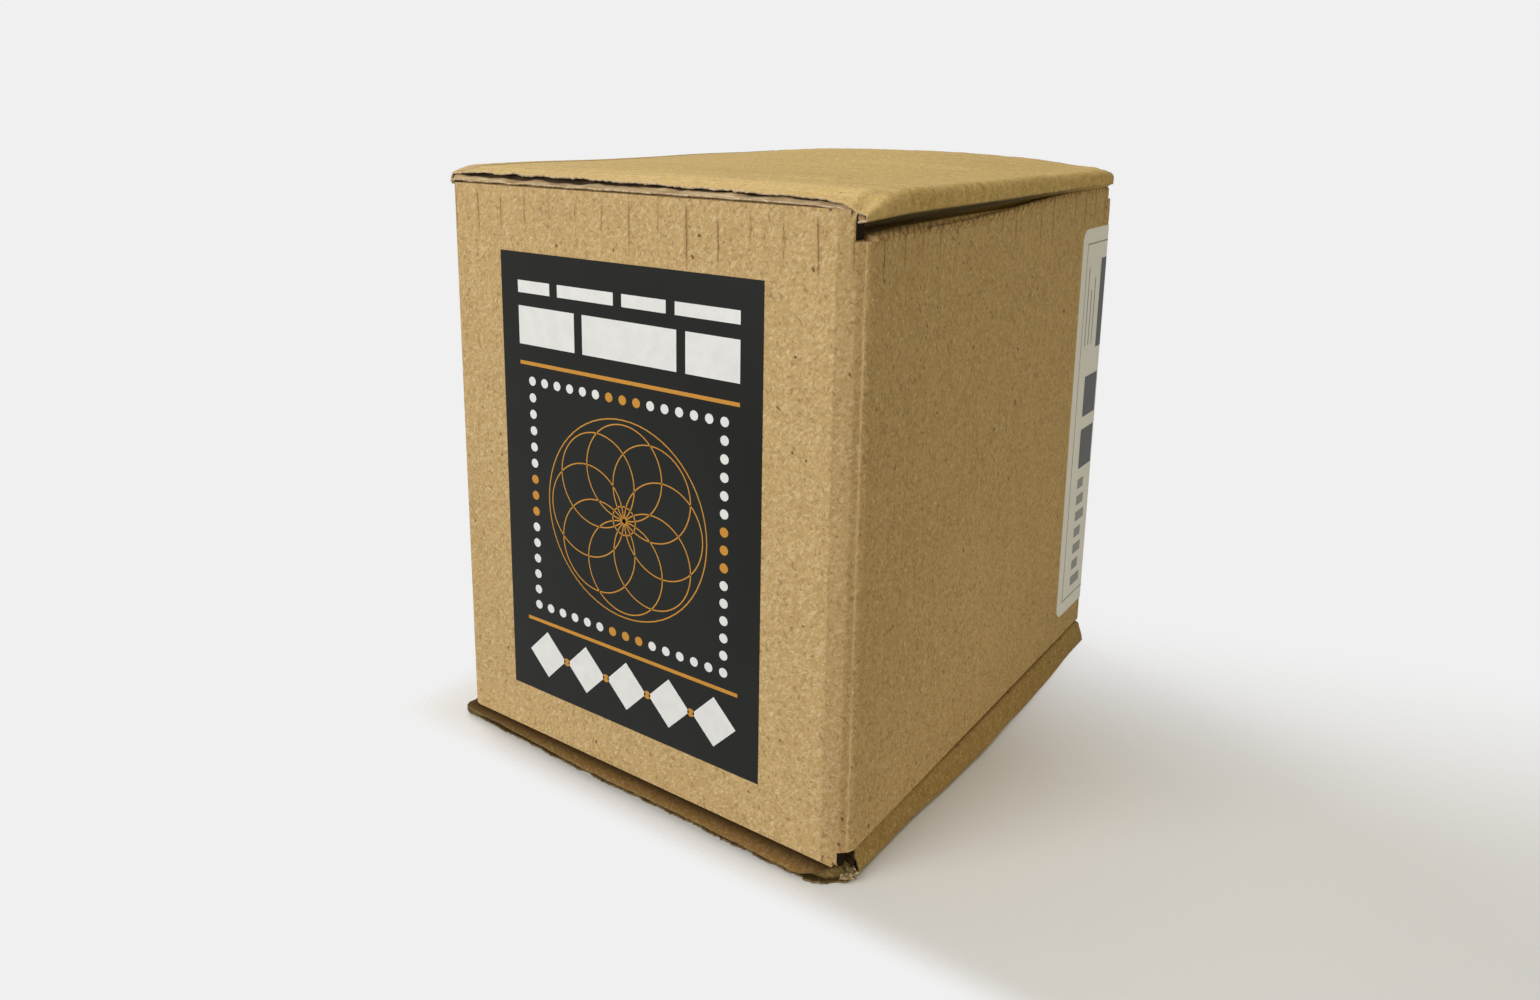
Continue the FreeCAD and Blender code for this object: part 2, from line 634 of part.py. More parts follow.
for thing in document.Objects:
    if "Invalid" in thing.State or "Error" in thing.State:
        raise RuntimeError("%s failed: %s" % (thing.Label, thing.State))
for node in nodes:
    if node.Shape.isNull() or not node.Shape.isValid():
        raise RuntimeError("%s has no valid shape" % node.Label)
    if len(node.Shape.Solids) != 1:
        raise RuntimeError("%s has %d solids" % (node.Label, len(node.Shape.Solids)))

os.makedirs("parts", exist_ok=True)
for node in nodes:
    node.Shape.exportStep("parts/%s.step" % node.Label)
    box = node.Shape.BoundBox
    print("%-15s %8.0f mm3  x %7.2f %7.2f  y %7.2f %7.2f  z %7.2f %7.2f  faces %d" % (
        node.Label, node.Shape.Volume, box.XMin, box.XMax, box.YMin, box.YMax, box.ZMin, box.ZMax,
        len(node.Shape.Faces)))
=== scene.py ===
"""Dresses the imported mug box: corrugated board with its liners and flutes, folds, and labels."""

import math
from functools import partialmethod

import bmesh
import bpy
from bpy.props import FloatProperty, FloatVectorProperty, IntProperty, PointerProperty
from mathutils import Matrix, Vector, noise


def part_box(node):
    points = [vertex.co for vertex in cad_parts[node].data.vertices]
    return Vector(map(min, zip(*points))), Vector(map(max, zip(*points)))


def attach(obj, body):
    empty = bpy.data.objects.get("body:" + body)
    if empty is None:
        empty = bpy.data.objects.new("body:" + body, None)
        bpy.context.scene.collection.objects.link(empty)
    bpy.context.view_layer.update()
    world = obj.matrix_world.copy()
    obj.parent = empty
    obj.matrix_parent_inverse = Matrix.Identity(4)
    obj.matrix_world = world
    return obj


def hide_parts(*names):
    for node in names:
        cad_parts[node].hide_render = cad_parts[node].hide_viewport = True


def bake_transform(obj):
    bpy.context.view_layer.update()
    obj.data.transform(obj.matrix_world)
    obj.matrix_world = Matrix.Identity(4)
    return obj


bl_info = {
    "name": "Mug Box",
    "version": (1, 0, 0),
    "blender": (4, 5, 0),
    "location": "3D View > Sidebar > Mug Box",
    "description": "Corrugated board, folds and labels for a straight-tuck mug box",
    "category": "Object",
}

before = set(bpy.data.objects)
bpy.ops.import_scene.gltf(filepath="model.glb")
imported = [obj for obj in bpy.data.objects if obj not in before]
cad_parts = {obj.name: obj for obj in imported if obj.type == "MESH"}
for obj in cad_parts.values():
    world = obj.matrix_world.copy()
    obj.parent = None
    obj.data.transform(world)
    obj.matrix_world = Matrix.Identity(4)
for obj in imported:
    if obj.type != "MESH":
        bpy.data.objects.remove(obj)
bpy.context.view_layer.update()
MM = 0.001

CARTON_LOW, CARTON_HIGH = (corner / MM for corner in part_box("carton"))
LID_LOW, LID_HIGH = (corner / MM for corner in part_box("lid"))
FLAP_LOW, FLAP_HIGH = (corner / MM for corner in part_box("bottom_flap"))
LABEL_LOW, LABEL_HIGH = (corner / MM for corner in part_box("front_label"))
WRAP_LOW, WRAP_HIGH = (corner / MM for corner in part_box("shipping_label"))
BOARD = LID_HIGH.z - CARTON_HIGH.z

# In millimetres, as the sizes in the functions: where the tuck wall's lip bends in, and how much higher
# its back stands; the notches at both ends of that wall; the bottom roll's top; the shipping label's
# start and length. DARK is the colour of the shade painted deep in a gap.
LIP_CREASE, LIP_RISE = 121.4, 2.6
NOTCH_X, NOTCH_Y = 49.77, 59.2
ROLL_TOP = 7.0
WRAP_START, WRAP_LENGTH = CARTON_HIGH.y - 20.2, 152.4
DARK = "#0A0704"


# ---- Settings ----


def srgb(text):
    """A hex colour as the linear colour that shaders take."""
    parts = [int(text[i:i + 2], 16) / 255 for i in (1, 3, 5)]
    return tuple(c / 12.92 if c <= 0.04045 else ((c + 0.055) / 1.055) ** 2.4 for c in parts) + (1.0,)


class BoardSettings(bpy.types.PropertyGroup):
    """Sizes and colours of the corrugated board."""

    flute_pitch: FloatProperty(
        name="Flute pitch", description="From one flute of the board to the next",
        default=7.1 * MM, unit="LENGTH")
    liner: FloatProperty(
        name="Liner", description="Thickness of the paper on each face of the board",
        default=0.36 * MM, unit="LENGTH")
    raggedness: FloatProperty(
        name="Raggedness", description="How deep the die's cut edges are torn and crushed",
        default=0.9 * MM, unit="LENGTH")
    bulge: FloatProperty(
        name="Lid bulge", description="How far the closed lid bows up towards its back",
        default=1.8 * MM, unit="LENGTH")
    kraft: FloatVectorProperty(
        name="Kraft", description="Colour of the outside liner", subtype="COLOR", size=3,
        default=srgb("#C9A770")[:3], min=0, max=1)


class LabelSettings(bpy.types.PropertyGroup):
    """Sizes of what is printed on the two labels."""

    diamonds: IntProperty(
        name="Diamonds", description="White diamonds along the foot of the dark label", default=5, min=1)
    petals: IntProperty(
        name="Petals", description="Circles that interlace in the dark label's rosette", default=8, min=3)
    line: FloatProperty(
        name="Fine line", description="Width of the rosette's printed line", default=0.26 * MM, unit="LENGTH")


class StageSettings(bpy.types.PropertyGroup):
    """Camera, lamps and floor."""

    azimuth: FloatProperty(
        name="Azimuth", description="Turn of the camera round the box, from its front",
        default=math.radians(35.547), unit="ROTATION")
    elevation: FloatProperty(
        name="Elevation", description="How far the camera looks down", default=math.radians(12.116),
        unit="ROTATION")
    roll: FloatProperty(
        name="Roll", description="Tilt of the camera about its line of sight", default=math.radians(0.61),
        unit="ROTATION")
    camera_place: FloatVectorProperty(
        name="Camera place", description="Where the camera stands", subtype="TRANSLATION", size=3,
        default=(0.1418, -0.2220, 0.1429), unit="LENGTH")
    lens: FloatProperty(
        name="Lens", description="Focal length on a 36 mm sensor", default=25.93, min=1)
    shift: FloatVectorProperty(
        name="Lens shift", description="Shift across and up, as shares of the sensor", size=2,
        default=(0.01435, -0.1))
    key_power: FloatProperty(name="Window lamp", description="Power of the window's light, W", default=3.3)
    fill_power: FloatProperty(name="Front lamp", description="Power of the front lamp, W", default=10.3)
    top_power: FloatProperty(name="Top lamp", description="Power of the overhead lamp, W", default=2.7)
    room_power: FloatProperty(name="Room lamp", description="Power of the warm light off a room, W",
                              default=1.75)
    ambient: FloatProperty(name="Ambient", description="Level of the light from all round", default=0.19)


# ---- Materials ----


def add_node(tree, kind, inputs=None, out=0, **settings):
    """One output of a new node with these settings; each input is a value, or the field that feeds it."""
    node = tree.nodes.new("ShaderNode" + kind)
    for name, value in settings.items():
        setattr(node, name, value)
    for name, value in (inputs or {}).items():
        feed(node.inputs[name], value)
    return Field(node.outputs[out])


def feed(socket, value):
    """Give a node's input a value, or link it to a field."""
    if isinstance(value, Field):
        socket.id_data.links.new(value.socket, socket)
    else:
        socket.default_value = value


class Field:
    """A value that varies over a piece. Arithmetic on it adds the nodes that work it out."""

    def __init__(self, socket):
        self.socket = socket
        self.tree = socket.id_data

    def step(self, operation, *others):
        """The field after one more operation, with the others that it takes."""
        return add_node(self.tree, "Math", dict(enumerate((self, *others))), operation=operation)

    __add__ = partialmethod(step, "ADD")
    __sub__ = partialmethod(step, "SUBTRACT")
    __mul__ = partialmethod(step, "MULTIPLY")
    __gt__ = partialmethod(step, "GREATER_THAN")
    __lt__ = partialmethod(step, "LESS_THAN")
    __abs__ = partialmethod(step, "ABSOLUTE")


def where(*marks):
    """Where all the marks are, from 0 to 1. A mark may be a field with its levels for 0 and for 1."""
    shown = None
    for mark in marks:
        if isinstance(mark, tuple):
            field, low, high = mark
            mark = add_node(field.tree, "MapRange", {0: field, 1: low, 2: high},
                            interpolation_type="SMOOTHSTEP")
        shown = mark if shown is None else shown * mark
    return shown


def tint(colour, mark, strength, ink_colour):
    """Lay a colour over another where a mark is, as strongly as asked."""
    # a Mix node's colours are its inputs 6 and 7 and its output 2
    return add_node(mark.tree, "Mix", {0: mark * strength, 6: colour, 7: srgb(ink_colour)}, out=2,
                    data_type="RGBA")


def new_material(name, roughness, specular):
    """An empty material, its shader, and the place on the piece: in mm, whole and as X, Y and Z."""
    material = bpy.data.materials.new(name)
    material.use_nodes = True
    tree = material.node_tree
    shader = tree.nodes["Principled BSDF"]
    shader.inputs["Roughness"].default_value = roughness
    shader.inputs["Specular IOR Level"].default_value = specular
    place = add_node(tree, "VectorMath", {0: add_node(tree, "TexCoord", out="Object"), "Scale": 1 / MM},
                     operation="SCALE")
    return material, shader, (place, *(add_node(tree, "SeparateXYZ", {0: place}, out=axis) for axis in "XYZ"))


def finish_surface(shader, colour, height=None, strength=1.0):
    """Link the finished colour, and the relief in millimetres, to the shader."""
    feed(shader.inputs["Base Color"], colour)
    if height is not None:
        feed(shader.inputs["Normal"], add_node(
            height.tree, "Bump", {"Height": height, "Strength": strength, "Distance": MM}, out="Normal"))


def speckle(place, size_mm, low, high, detail=2.0, stretch=(1, 1, 1), turn=None, swirl=0.0):
    """Noise of a real grain size, steepened between two levels, from 0 to 1."""
    if turn is not None:
        place = add_node(place.tree, "Mapping", {"Vector": place, "Rotation": turn})
    scaled = add_node(place.tree, "VectorMath", {0: place, 1: tuple(s / size_mm for s in stretch)},
                      operation="MULTIPLY")
    grain = add_node(place.tree, "TexNoise", {"Vector": scaled, "Scale": 1.0, "Detail": detail,
                                              "Roughness": 0.55, "Distortion": swirl}, out="Fac")
    return add_node(place.tree, "MapRange", {0: grain, 1: low, 2: high}, clamp=True)


def under_nose(y, z, low, high):
    """Where shade is painted in the gap under the lid's nose: over more of its height at the front end than
    behind.
    """
    return where((z + y * -0.03, low, high))


def kraft_board(name, settings, shade=(1.0, 1.0, 1.0), fibres=1.0, walls=False, crease=None, gloom=None):
    """Unbleached kraft liner, as pressed on corrugated board.

    To the eye it is a dry matt brown paper, clouded and mottled, with long pale and dark fibres lying
    every way, a few dark shives, and the flutes just felt under it. shade is how much of each of red,
    green and blue is left of the liner's own colour, and fibres how strongly they stand out. Flutes run
    up the walls and along X elsewhere. crease is where a pressed line crosses the lid, behind its front
    edge, and gloom two levels of y between which shade is painted on, deepening towards the second.
    """
    material, shader, spot = new_material(name, roughness=0.9, specular=0.12)
    place, x, y, _ = spot
    pitch = settings.flute_pitch / MM
    over, along = y, (0.04, 1, 1)
    if walls:
        normal = add_node(x.tree, "NewGeometry", out="Normal")
        facing = [add_node(x.tree, "SeparateXYZ", {0: normal}, out=axis) for axis in "XZ"]
        over, along = x + (y - x) * (abs(facing[0]) > 0.6), (1, 1, 0.07)

    # the sheet's cloudy formation (20 mm), its mottle (1.7 mm) and its grain (0.7 mm)
    cloud = speckle(place, 20.0, 0.3, 0.7)
    mottle = speckle(place, 1.7, 0.42, 0.62, detail=3.0)
    grain = speckle(place, 0.7, 0.36, 0.64, detail=4.0)
    # fibres lie every way, and each stretched noise catches a few; streaks follow the flutes
    fibre, slant, dark_fibre = (
        speckle(place, size, low, high, detail=1.0, stretch=stretch, turn=turn, swirl=0.8)
        for size, low, high, stretch, turn in (
            (0.5, 0.57, 0.66, (0.3, 1.0, 0.9), (0.5, 0.6, 0.7)),
            (0.5, 0.57, 0.66, (0.9, 0.9, 0.3), (0.4, -0.7, 0.5)),
            (0.6, 0.58, 0.70, (1.0, 0.8, 0.35), (-0.6, 0.5, 0.9))))
    streak = speckle(place, 1.6, 0.35, 0.65, stretch=along)
    fleck = speckle(place, 1.5, 0.72, 0.77, detail=1.0)
    shive = speckle(place, 1.7, 0.75, 0.785, detail=1.0, stretch=(1.0, 1.1, 0.8))
    wave = (over * (2 * math.pi / pitch)).step("SINE")

    colour = tuple(c * s for c, s in zip(settings.kraft, shade)) + (1.0,)
    for mark, strength, ink_colour in (
            (cloud, 0.14, "#9C7A48"), (grain, 0.24 * fibres, "#F0DDB0"), (mottle, 0.18, "#8A6A3C"),
            (streak, 0.08 if walls else 0.26, "#94703A"), (fibre, 0.40 * fibres, "#EBD6A8"),
            (slant, 0.34 * fibres, "#EBD6A8"), (dark_fibre, 0.42, "#7A5C32"),
            (fleck, 0.55 * fibres, "#E9D7B0"), (shive, 0.75, "#4E3822")):
        colour = tint(colour, mark, strength, ink_colour)
    height = mottle * -0.05 + grain * 0.06 + wave * 0.025

    if walls:
        upright = abs(facing[1]) < 0.6
        colour, height = flute_lines(spot, over, pitch, colour, height)
        colour = worn_folds(spot, upright, colour)
        colour, height = bent_lip(spot, colour, height)
    else:
        colour = tint(colour, where((wave, 0.3, 1.0)), 0.08, "#8F6E3E")
    if crease is not None:
        colour, height = lid_creases(spot, crease, colour, height)
    if gloom is not None:
        # painted shade, deepening from the first level of y to the second
        colour = tint(colour, where((y, *gloom)), 0.85, "#2E1E0C")
    finish_surface(shader, colour, height, strength=0.9)
    return material


def flute_lines(spot, over, pitch, colour, height):
    """Broken hairlines below the top fold where the flutes' edges print through the liner, partly painted
    shade.
    """
    place, _, _, z = spot
    cell = over.step("DIVIDE", pitch) + 0.45
    cell = speckle(place, 9.0, 0.2, 0.8, detail=0.0) * 0.08 + cell
    cell = speckle(place, 1.6, 0.2, 0.8) * 0.025 + cell
    off = abs(cell.step("FRACT") - 0.5)
    luck = add_node(z.tree, "TexWhiteNoise", {"W": cell.step("FLOOR")}, out="Value", noise_dimensions="1D")
    depth = z * -1.0 + CARTON_HIGH.z
    mark = where((luck * 6.0 + 9.5 - depth, 0.0, 5.0), speckle(place, 1.3, 0.25, 0.5, stretch=(1, 1, 0.5)),
                 luck * 0.5 + 0.5, (depth, 0.8, 3.0))
    core = where((off, 0.04, 0.006), mark)
    colour = tint(colour, where((off, 0.13, 0.0), mark), 0.24, "#8A6A3C")
    colour = tint(colour, core, 0.62, "#6B4B28")
    return colour, core * -0.10 + height


def worn_folds(spot, upright, colour):
    """The vertical folds beside the tuck wall: a darker pressed band, and the fold's ridge rubbed pale."""
    place, x, y, _ = spot
    corner = abs(x) - abs(y) + (CARTON_HIGH.y - CARTON_HIGH.x)
    corner = speckle(place, 2.5, 0.2, 0.8) * 0.5 + corner
    band = where((corner, -5.8, -5.2), (corner, 1.0, 0.5), x > 0.0, upright)
    rubbed = where((corner, 0.25, 0.5), (corner, 1.0, 0.75), upright,
                   speckle(place, 4.0, 0.25, 0.5, stretch=(1, 1, 0.12)))
    colour = tint(colour, band, 0.27, "#7C5C31")
    return tint(colour, rubbed, 0.45, "#E4CB9A")


def bent_lip(spot, colour, height):
    """The crumpled lip that the tuck bends in, with painted shade on it, under the lid's nose and in the
    notches.
    """
    place, x, y, z = spot
    rise = where((y, -30.0, 48.0)) * LIP_RISE
    above = z - LIP_CREASE - rise
    lip = where((above, -1.2, 0.4), x > 48.0, (abs(y), NOTCH_Y + 0.7, NOTCH_Y + 0.1))
    # short wrinkles that lean towards the front, darkened partly as painted shade in them
    lean = speckle(place, 5.0, 0.2, 0.8) * 3.0 + z * -1.6 + y
    wrinkle = where(((lean * (2 * math.pi / 2.4)).step("SINE"), 0.2, 1.0), lip)
    colour = tint(colour, wrinkle, 0.5, "#6E5027")
    # painted shade on the lip where it bends in under the nose
    colour = tint(colour, where((above, -0.2, 1.2), lip), 0.12, "#5B421C")
    # painted shade inside the notches at both ends of the tuck wall, and in the gap under the nose
    low_end, high_end = where((z, ROLL_TOP + 0.1, ROLL_TOP - 0.3)), where((z, LIP_CREASE, LIP_CREASE + 0.3))
    notch = where(x > NOTCH_X, abs(y) < CARTON_HIGH.y - 0.12, abs(y) > NOTCH_Y,
                  low_end.step("MAXIMUM", high_end))
    dark = notch.step("MAXIMUM", under_nose(y, z, 123.6, 124.8) * lip)
    return tint(colour, dark, 0.98, DARK), wrinkle * -0.14 + height


def lid_creases(spot, crease, colour, height):
    """The pressed line behind the lid's front edge, partly painted shade; painted light on the strip in front
    of it; and painted shade under the nose.
    """
    place, x, y, z = spot
    bend = speckle(place, 14.0, 0.2, 0.8) * 1.6 + y
    line = where((abs(bend - crease), 0.45, 0.1), speckle(place, 5.0, 0.3, 0.5), (x, -44.0, -34.0),
                 (x, 14.0, -4.0))
    # the crease line's dark colour is partly painted shade
    colour = tint(colour, line, 0.6, "#6B4B28")
    # painted light: the strip in front of the crease is made paler
    colour = tint(colour, where((bend, crease + 10.0, crease - 1.0), (x, -48.0, -10.0)), 0.28, "#EFCE92")
    # painted shade under the nose
    below = z + where((y, -48.0, -62.0))
    dark = where(under_nose(y, z, 123.0, 125.0), x > 44.0, (below, 125.7, 125.0)) * 0.87
    return tint(colour, dark, 0.98, DARK), line * -0.10 + height


def torn_edge(name, low, high):
    """Die-cut or torn kraft liner: to the eye a rough paler pulp with loose fibres, and no shine."""
    material, shader, (place, *_) = new_material(name, roughness=0.95, specular=0.15)
    finish_surface(shader, tint(srgb(low), speckle(place, 0.7, 0.3, 0.7, detail=3.0), 1.0, high))
    return material


def fluting(name, low, high, deep=None):
    """Recycled fluting paper: to the eye dull, streaked along its flutes and frayed where it is crushed.

    Further in than deep, on the lid's panel, shadow is painted on the open flutes.
    """
    material, shader, (place, _, y, z) = new_material(name, roughness=0.95, specular=0.15)
    streak = speckle(place, 0.8, 0.3, 0.7, detail=3.0, stretch=(0.15, 1, 1))
    colour = tint(srgb(low), streak, 1.0, high)
    colour = tint(colour, speckle(place, 4.0, 0.45, 0.6, stretch=(0.4, 1, 1)), 0.35, "#5A4428")
    if deep is not None:
        colour = tint(colour, where((abs(y), deep + 0.4, deep - 0.3), z > 126.9), 0.85, "#1A1209")
    finish_surface(shader, colour, streak * 0.15)
    return material


def label_paper(name, low, high, roughness, specular):
    """Coated label paper: to the eye a smooth sheet with a low satin gloss that follows the board."""
    material, shader, (place, *_) = new_material(name, roughness, specular)
    colour = tint(srgb(low), speckle(place, 40.0, 0.3, 0.7), 1.0, high)
    finish_surface(shader, colour, speckle(place, 6.0, 0.2, 0.8, detail=1.0) * 0.05, strength=0.6)
    return material


def ink(name, colour):
    """Printed ink: to the eye a flat colour, worn a little thin, with the sheen of the paper."""
    material, shader, (place, *_) = new_material(name, roughness=0.5, specular=0.4)
    worn = tuple(c * 0.88 for c in srgb(colour)[:3]) + (1.0,)
    finish_surface(shader, tint(worn, speckle(place, 2.5, 0.2, 0.8, detail=3.0), 1.0, colour))
    return material


# ---- Sheets of board ----


def add_piece(name, mesh_data, body, materials):
    """Link a finished mesh, in millimetres until now, as a piece that rides on a body, where it has one."""
    mesh = bpy.data.meshes.new(name)
    bmesh.ops.scale(mesh_data, vec=(MM, MM, MM), verts=mesh_data.verts)
    mesh_data.to_mesh(mesh)
    mesh_data.free()
    for polygon in mesh.polygons:
        polygon.use_smooth = True
    piece = bpy.data.objects.new(name, mesh)
    bpy.context.scene.collection.objects.link(piece)
    for material in materials:
        mesh.materials.append(material)
    if body:
        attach(piece, body)
    return piece


def thicken(piece, thickness, rim=0):
    """Give a sheet its thickness inwards, with its cut rim in another of its materials."""
    solid = piece.modifiers.new("paper", "SOLIDIFY")
    solid.thickness = thickness
    solid.offset = -1.0
    solid.material_offset_rim = rim


def grid_sheet(along, across, place, turned=False):
    """A grid of cells whose every corner is put in place by its two counts, turned over if asked."""
    sheet = bmesh.new()
    bmesh.ops.create_grid(sheet, x_segments=along, y_segments=across, size=1.0)
    for corner in sheet.verts:
        i = round((corner.co.x + 1) / 2 * along)
        j = round((corner.co.y + 1) / 2 * across)
        corner.co = place(i, j)
    if turned:
        bmesh.ops.reverse_faces(sheet, faces=sheet.faces)
    return sheet


# Cells along a closure's section: hinge edge, panel, nose, its return and tuck, and round each corner.
RUN_STEPS, CORNER_STEPS = (2, 170, 5, 6, 16), 6
# Distances from a cut edge of the rows of corners along it, in a liner and in the fluting; then the
# cells across the rest of a liner, and to each wave of the fluting.
EDGE_ROWS = (0.0, 0.3, 0.8, 1.4, 2.1, 3.0, 4.0, 5.2, 6.6, 8.2, 10.0)
FRAY_ROWS = (0.0, 0.25, 0.5, 0.8, 1.2, 1.8)
MIDDLE_CELLS, WAVE_CELLS = 22, 12


def fold_path(corners):
    """Points along a folded section: straight runs between corners of a given radius."""
    points = []
    places = [Vector(corner[:2]) for corner in corners]
    starts, ends = [], []
    for i, corner in enumerate(corners):
        before = (places[i] - places[i - 1]).length if i else 0
        after = (places[i + 1] - places[i]).length if i + 1 < len(places) else 0
        if not before or not after:
            starts.append(places[i])
            ends.append(places[i])
            continue
        back = (places[i - 1] - places[i]).normalized()
        on = (places[i + 1] - places[i]).normalized()
        reach = min(corner[2] * math.tan((math.pi - back.angle(on)) / 2), 0.45 * before, 0.45 * after)
        starts.append(places[i] + back * reach)
        ends.append(places[i] + on * reach)
    for i in range(len(places) - 1):
        if i:
            for step in range(CORNER_STEPS):
                t = step / CORNER_STEPS
                points.append(starts[i] * (1 - t) ** 2 + places[i] * 2 * t * (1 - t) + ends[i] * t ** 2)
        for step in range(RUN_STEPS[i]):
            points.append(ends[i].lerp(starts[i + 1], step / RUN_STEPS[i]))
    points.append(places[-1])
    return points


def smooth(low, high, value):
    """0 at one level, 1 at the other, and an even curve between."""
    share = max(0.0, min(1.0, (value - low) / (high - low)))
    return share * share * (3 - 2 * share)


def waver(*place):
    """An uneven amount, from about -1 to 1, that depends only on a place."""
    return noise.noise(Vector(place))


def ragged(run, seed, depth):
    """How far a cut edge is torn back at one place along it: small nicks and a few bites."""
    nick, bite = waver(run / 0.9, seed, 0.0), waver(run / 5.0, seed + 7.0, 0.0)
    return depth * max(0.0, 0.3 + 0.5 * nick + 1.1 * max(0.0, bite - 0.05))


def curl(run, seed, height):
    """How far a loose liner stands up or down along its cut edge."""
    return height * (waver(run / 4.2, seed, 2.0) + 0.7 * waver(run / 0.9, seed, 4.0))


class Closure:
    """The lid or the bottom flap as a folded board: matched sections of its two liners, and its ends.

    Sections are points (x, depth), with depth measured inwards from the outside face, so that both
    closures share one form. ends gives the front and back y at a point of the outer section.
    """

    def __init__(self, name, low, high, upright, outer, inner, ends, warp):
        self.name = name
        self.low = low
        self.high = high
        self.face = high.z if upright else low.z
        self.inwards = -1.0 if upright else 1.0
        self.outer = fold_path(outer)
        self.inner = fold_path(inner)
        self.runs = [0.0]
        for before, after in zip(self.outer, self.outer[1:]):
            self.runs.append(self.runs[-1] + (after - before).length)
        self.ends = ends
        self.warp = warp

    def put(self, section, y):
        x, depth = section
        return self.warp(Vector((x, y, self.face + self.inwards * depth)))


def tuck_ends(tip, depth):
    """Front and back y of a tuck that runs between the walls, tapered to its tip."""
    clearance, taper_run, narrowing = 0.8, 10.0, 7.0
    taper = max(0.0, (depth - (tip - taper_run)) / taper_run)
    reach = CARTON_HIGH.y - BOARD - clearance - narrowing * taper ** 1.6
    return -reach, reach


def liner_sheet(closure, side, setback, tear, seed):
    """One liner of a closure, its long cut edges torn back and curled by a little."""
    path = closure.outer if side == "outer" else closure.inner
    curl_reach, curl_height = 2.2, 0.35 if side == "outer" else 0.2
    back_share = 0.4
    last = 2 * len(EDGE_ROWS) + MIDDLE_CELLS - 2

    def place(i, j):
        start, end = closure.ends(*closure.outer[i])
        run = closure.runs[i]
        back = setback[0] + (setback[1] - setback[0]) * smooth(10.0, 46.0, path[i].x)
        start += back + ragged(run, seed, tear)
        end -= back + ragged(run, seed + 20, back_share * tear)
        if j < len(EDGE_ROWS):
            y, loose = start + EDGE_ROWS[j], 1 - EDGE_ROWS[j] / curl_reach
        elif j > last - len(EDGE_ROWS):
            y, loose = end - EDGE_ROWS[last - j], 1 - EDGE_ROWS[last - j] / curl_reach
        else:
            share = (j - len(EDGE_ROWS) + 1) / MIDDLE_CELLS
            y, loose = (start + EDGE_ROWS[-1]) * (1 - share) + (end - EDGE_ROWS[-1]) * share, 0.0
        x, depth = path[i]
        if loose > 0 and 3 < i < len(path) - 20:
            # the back edge curls less than the front one, as it is torn less
            depth += loose * curl(run, seed + 5.0 * (y > 0), curl_height * (back_share if y > 0 else 1.0))
        return closure.put((x, depth), y)

    return grid_sheet(len(path) - 1, last, place, turned=(side == "outer") != (closure.inwards < 0))


def medium_sheet(closure, settings, setback, tear, seed):
    """The fluted sheet between a closure's liners, crushed down on the inside one along its cut edges."""
    pitch = settings.flute_pitch / MM
    liner = settings.liner / MM
    cells = int((closure.high.y - closure.low.y) / pitch * WAVE_CELLS)
    indices = list(range(0, len(closure.outer), 2)) + [len(closure.outer) - 1]
    last = cells + 2 * len(FRAY_ROWS)
    # in mm from a cut edge: how far the crushed lip rises, is flat, and gives way to whole waves
    lip_rise, lip_flat, lip_end, wave_start = 0.9, 1.0, 2.6, 2.4

    def place(i, j):
        index = indices[i]
        start, end = closure.ends(*closure.outer[index])
        run = closure.runs[index]
        start += setback[0] + ragged(run, seed + 40, tear)
        end -= setback[0] + ragged(run, seed + 60, tear)
        outer, inner = closure.outer[index], closure.inner[index]
        across = outer - inner
        half = max(0.15, across.length / 2 - liner * 1.4)
        if j < len(FRAY_ROWS):
            y = start + FRAY_ROWS[j]
        elif j > last - len(FRAY_ROWS):
            y = end - FRAY_ROWS[last - j]
        else:
            y = start + wave_start + (end - start - 2 * wave_start) * (j - len(FRAY_ROWS)) / cells
        turn = 2 * math.pi * (y - closure.low.y) / pitch
        jitter = waver(outer.x / 6.0, y / 9.0, seed)
        swing = -math.cos(turn + 0.8 * jitter)
        # the crushed edge stands up from the inside liner as a low frayed lip
        near = min(y - start, end - y)
        top = 0.75 * waver(run / 5.5, seed, 3.0) + 0.3 * waver(run, 1.0, seed)
        # it fills the board at the hinge and round the nose, and is lowest on the panel's hinge half
        top += 0.05 + 1.5 * (1 - smooth(2.0, 9.0, run)) + 1.7 * smooth(47.8, 49.6, outer.x)
        top -= 0.4 * smooth(8.0, 14.0, run) * (1 - smooth(45.0, 65.0, run))
        lip = -1.0 + (1.0 + max(-0.8, min(0.8, top))) * math.sin(math.pi / 2 * min(1.0, near / lip_rise))
        flat = 1 - smooth(lip_flat, lip_end, near)
        swing = swing * (1 - flat) + lip * flat
        middle = (outer + inner) / 2 + across.normalized() * half * swing * 0.95
        return closure.put(middle, y)

    return grid_sheet(len(indices) - 1, last, place)


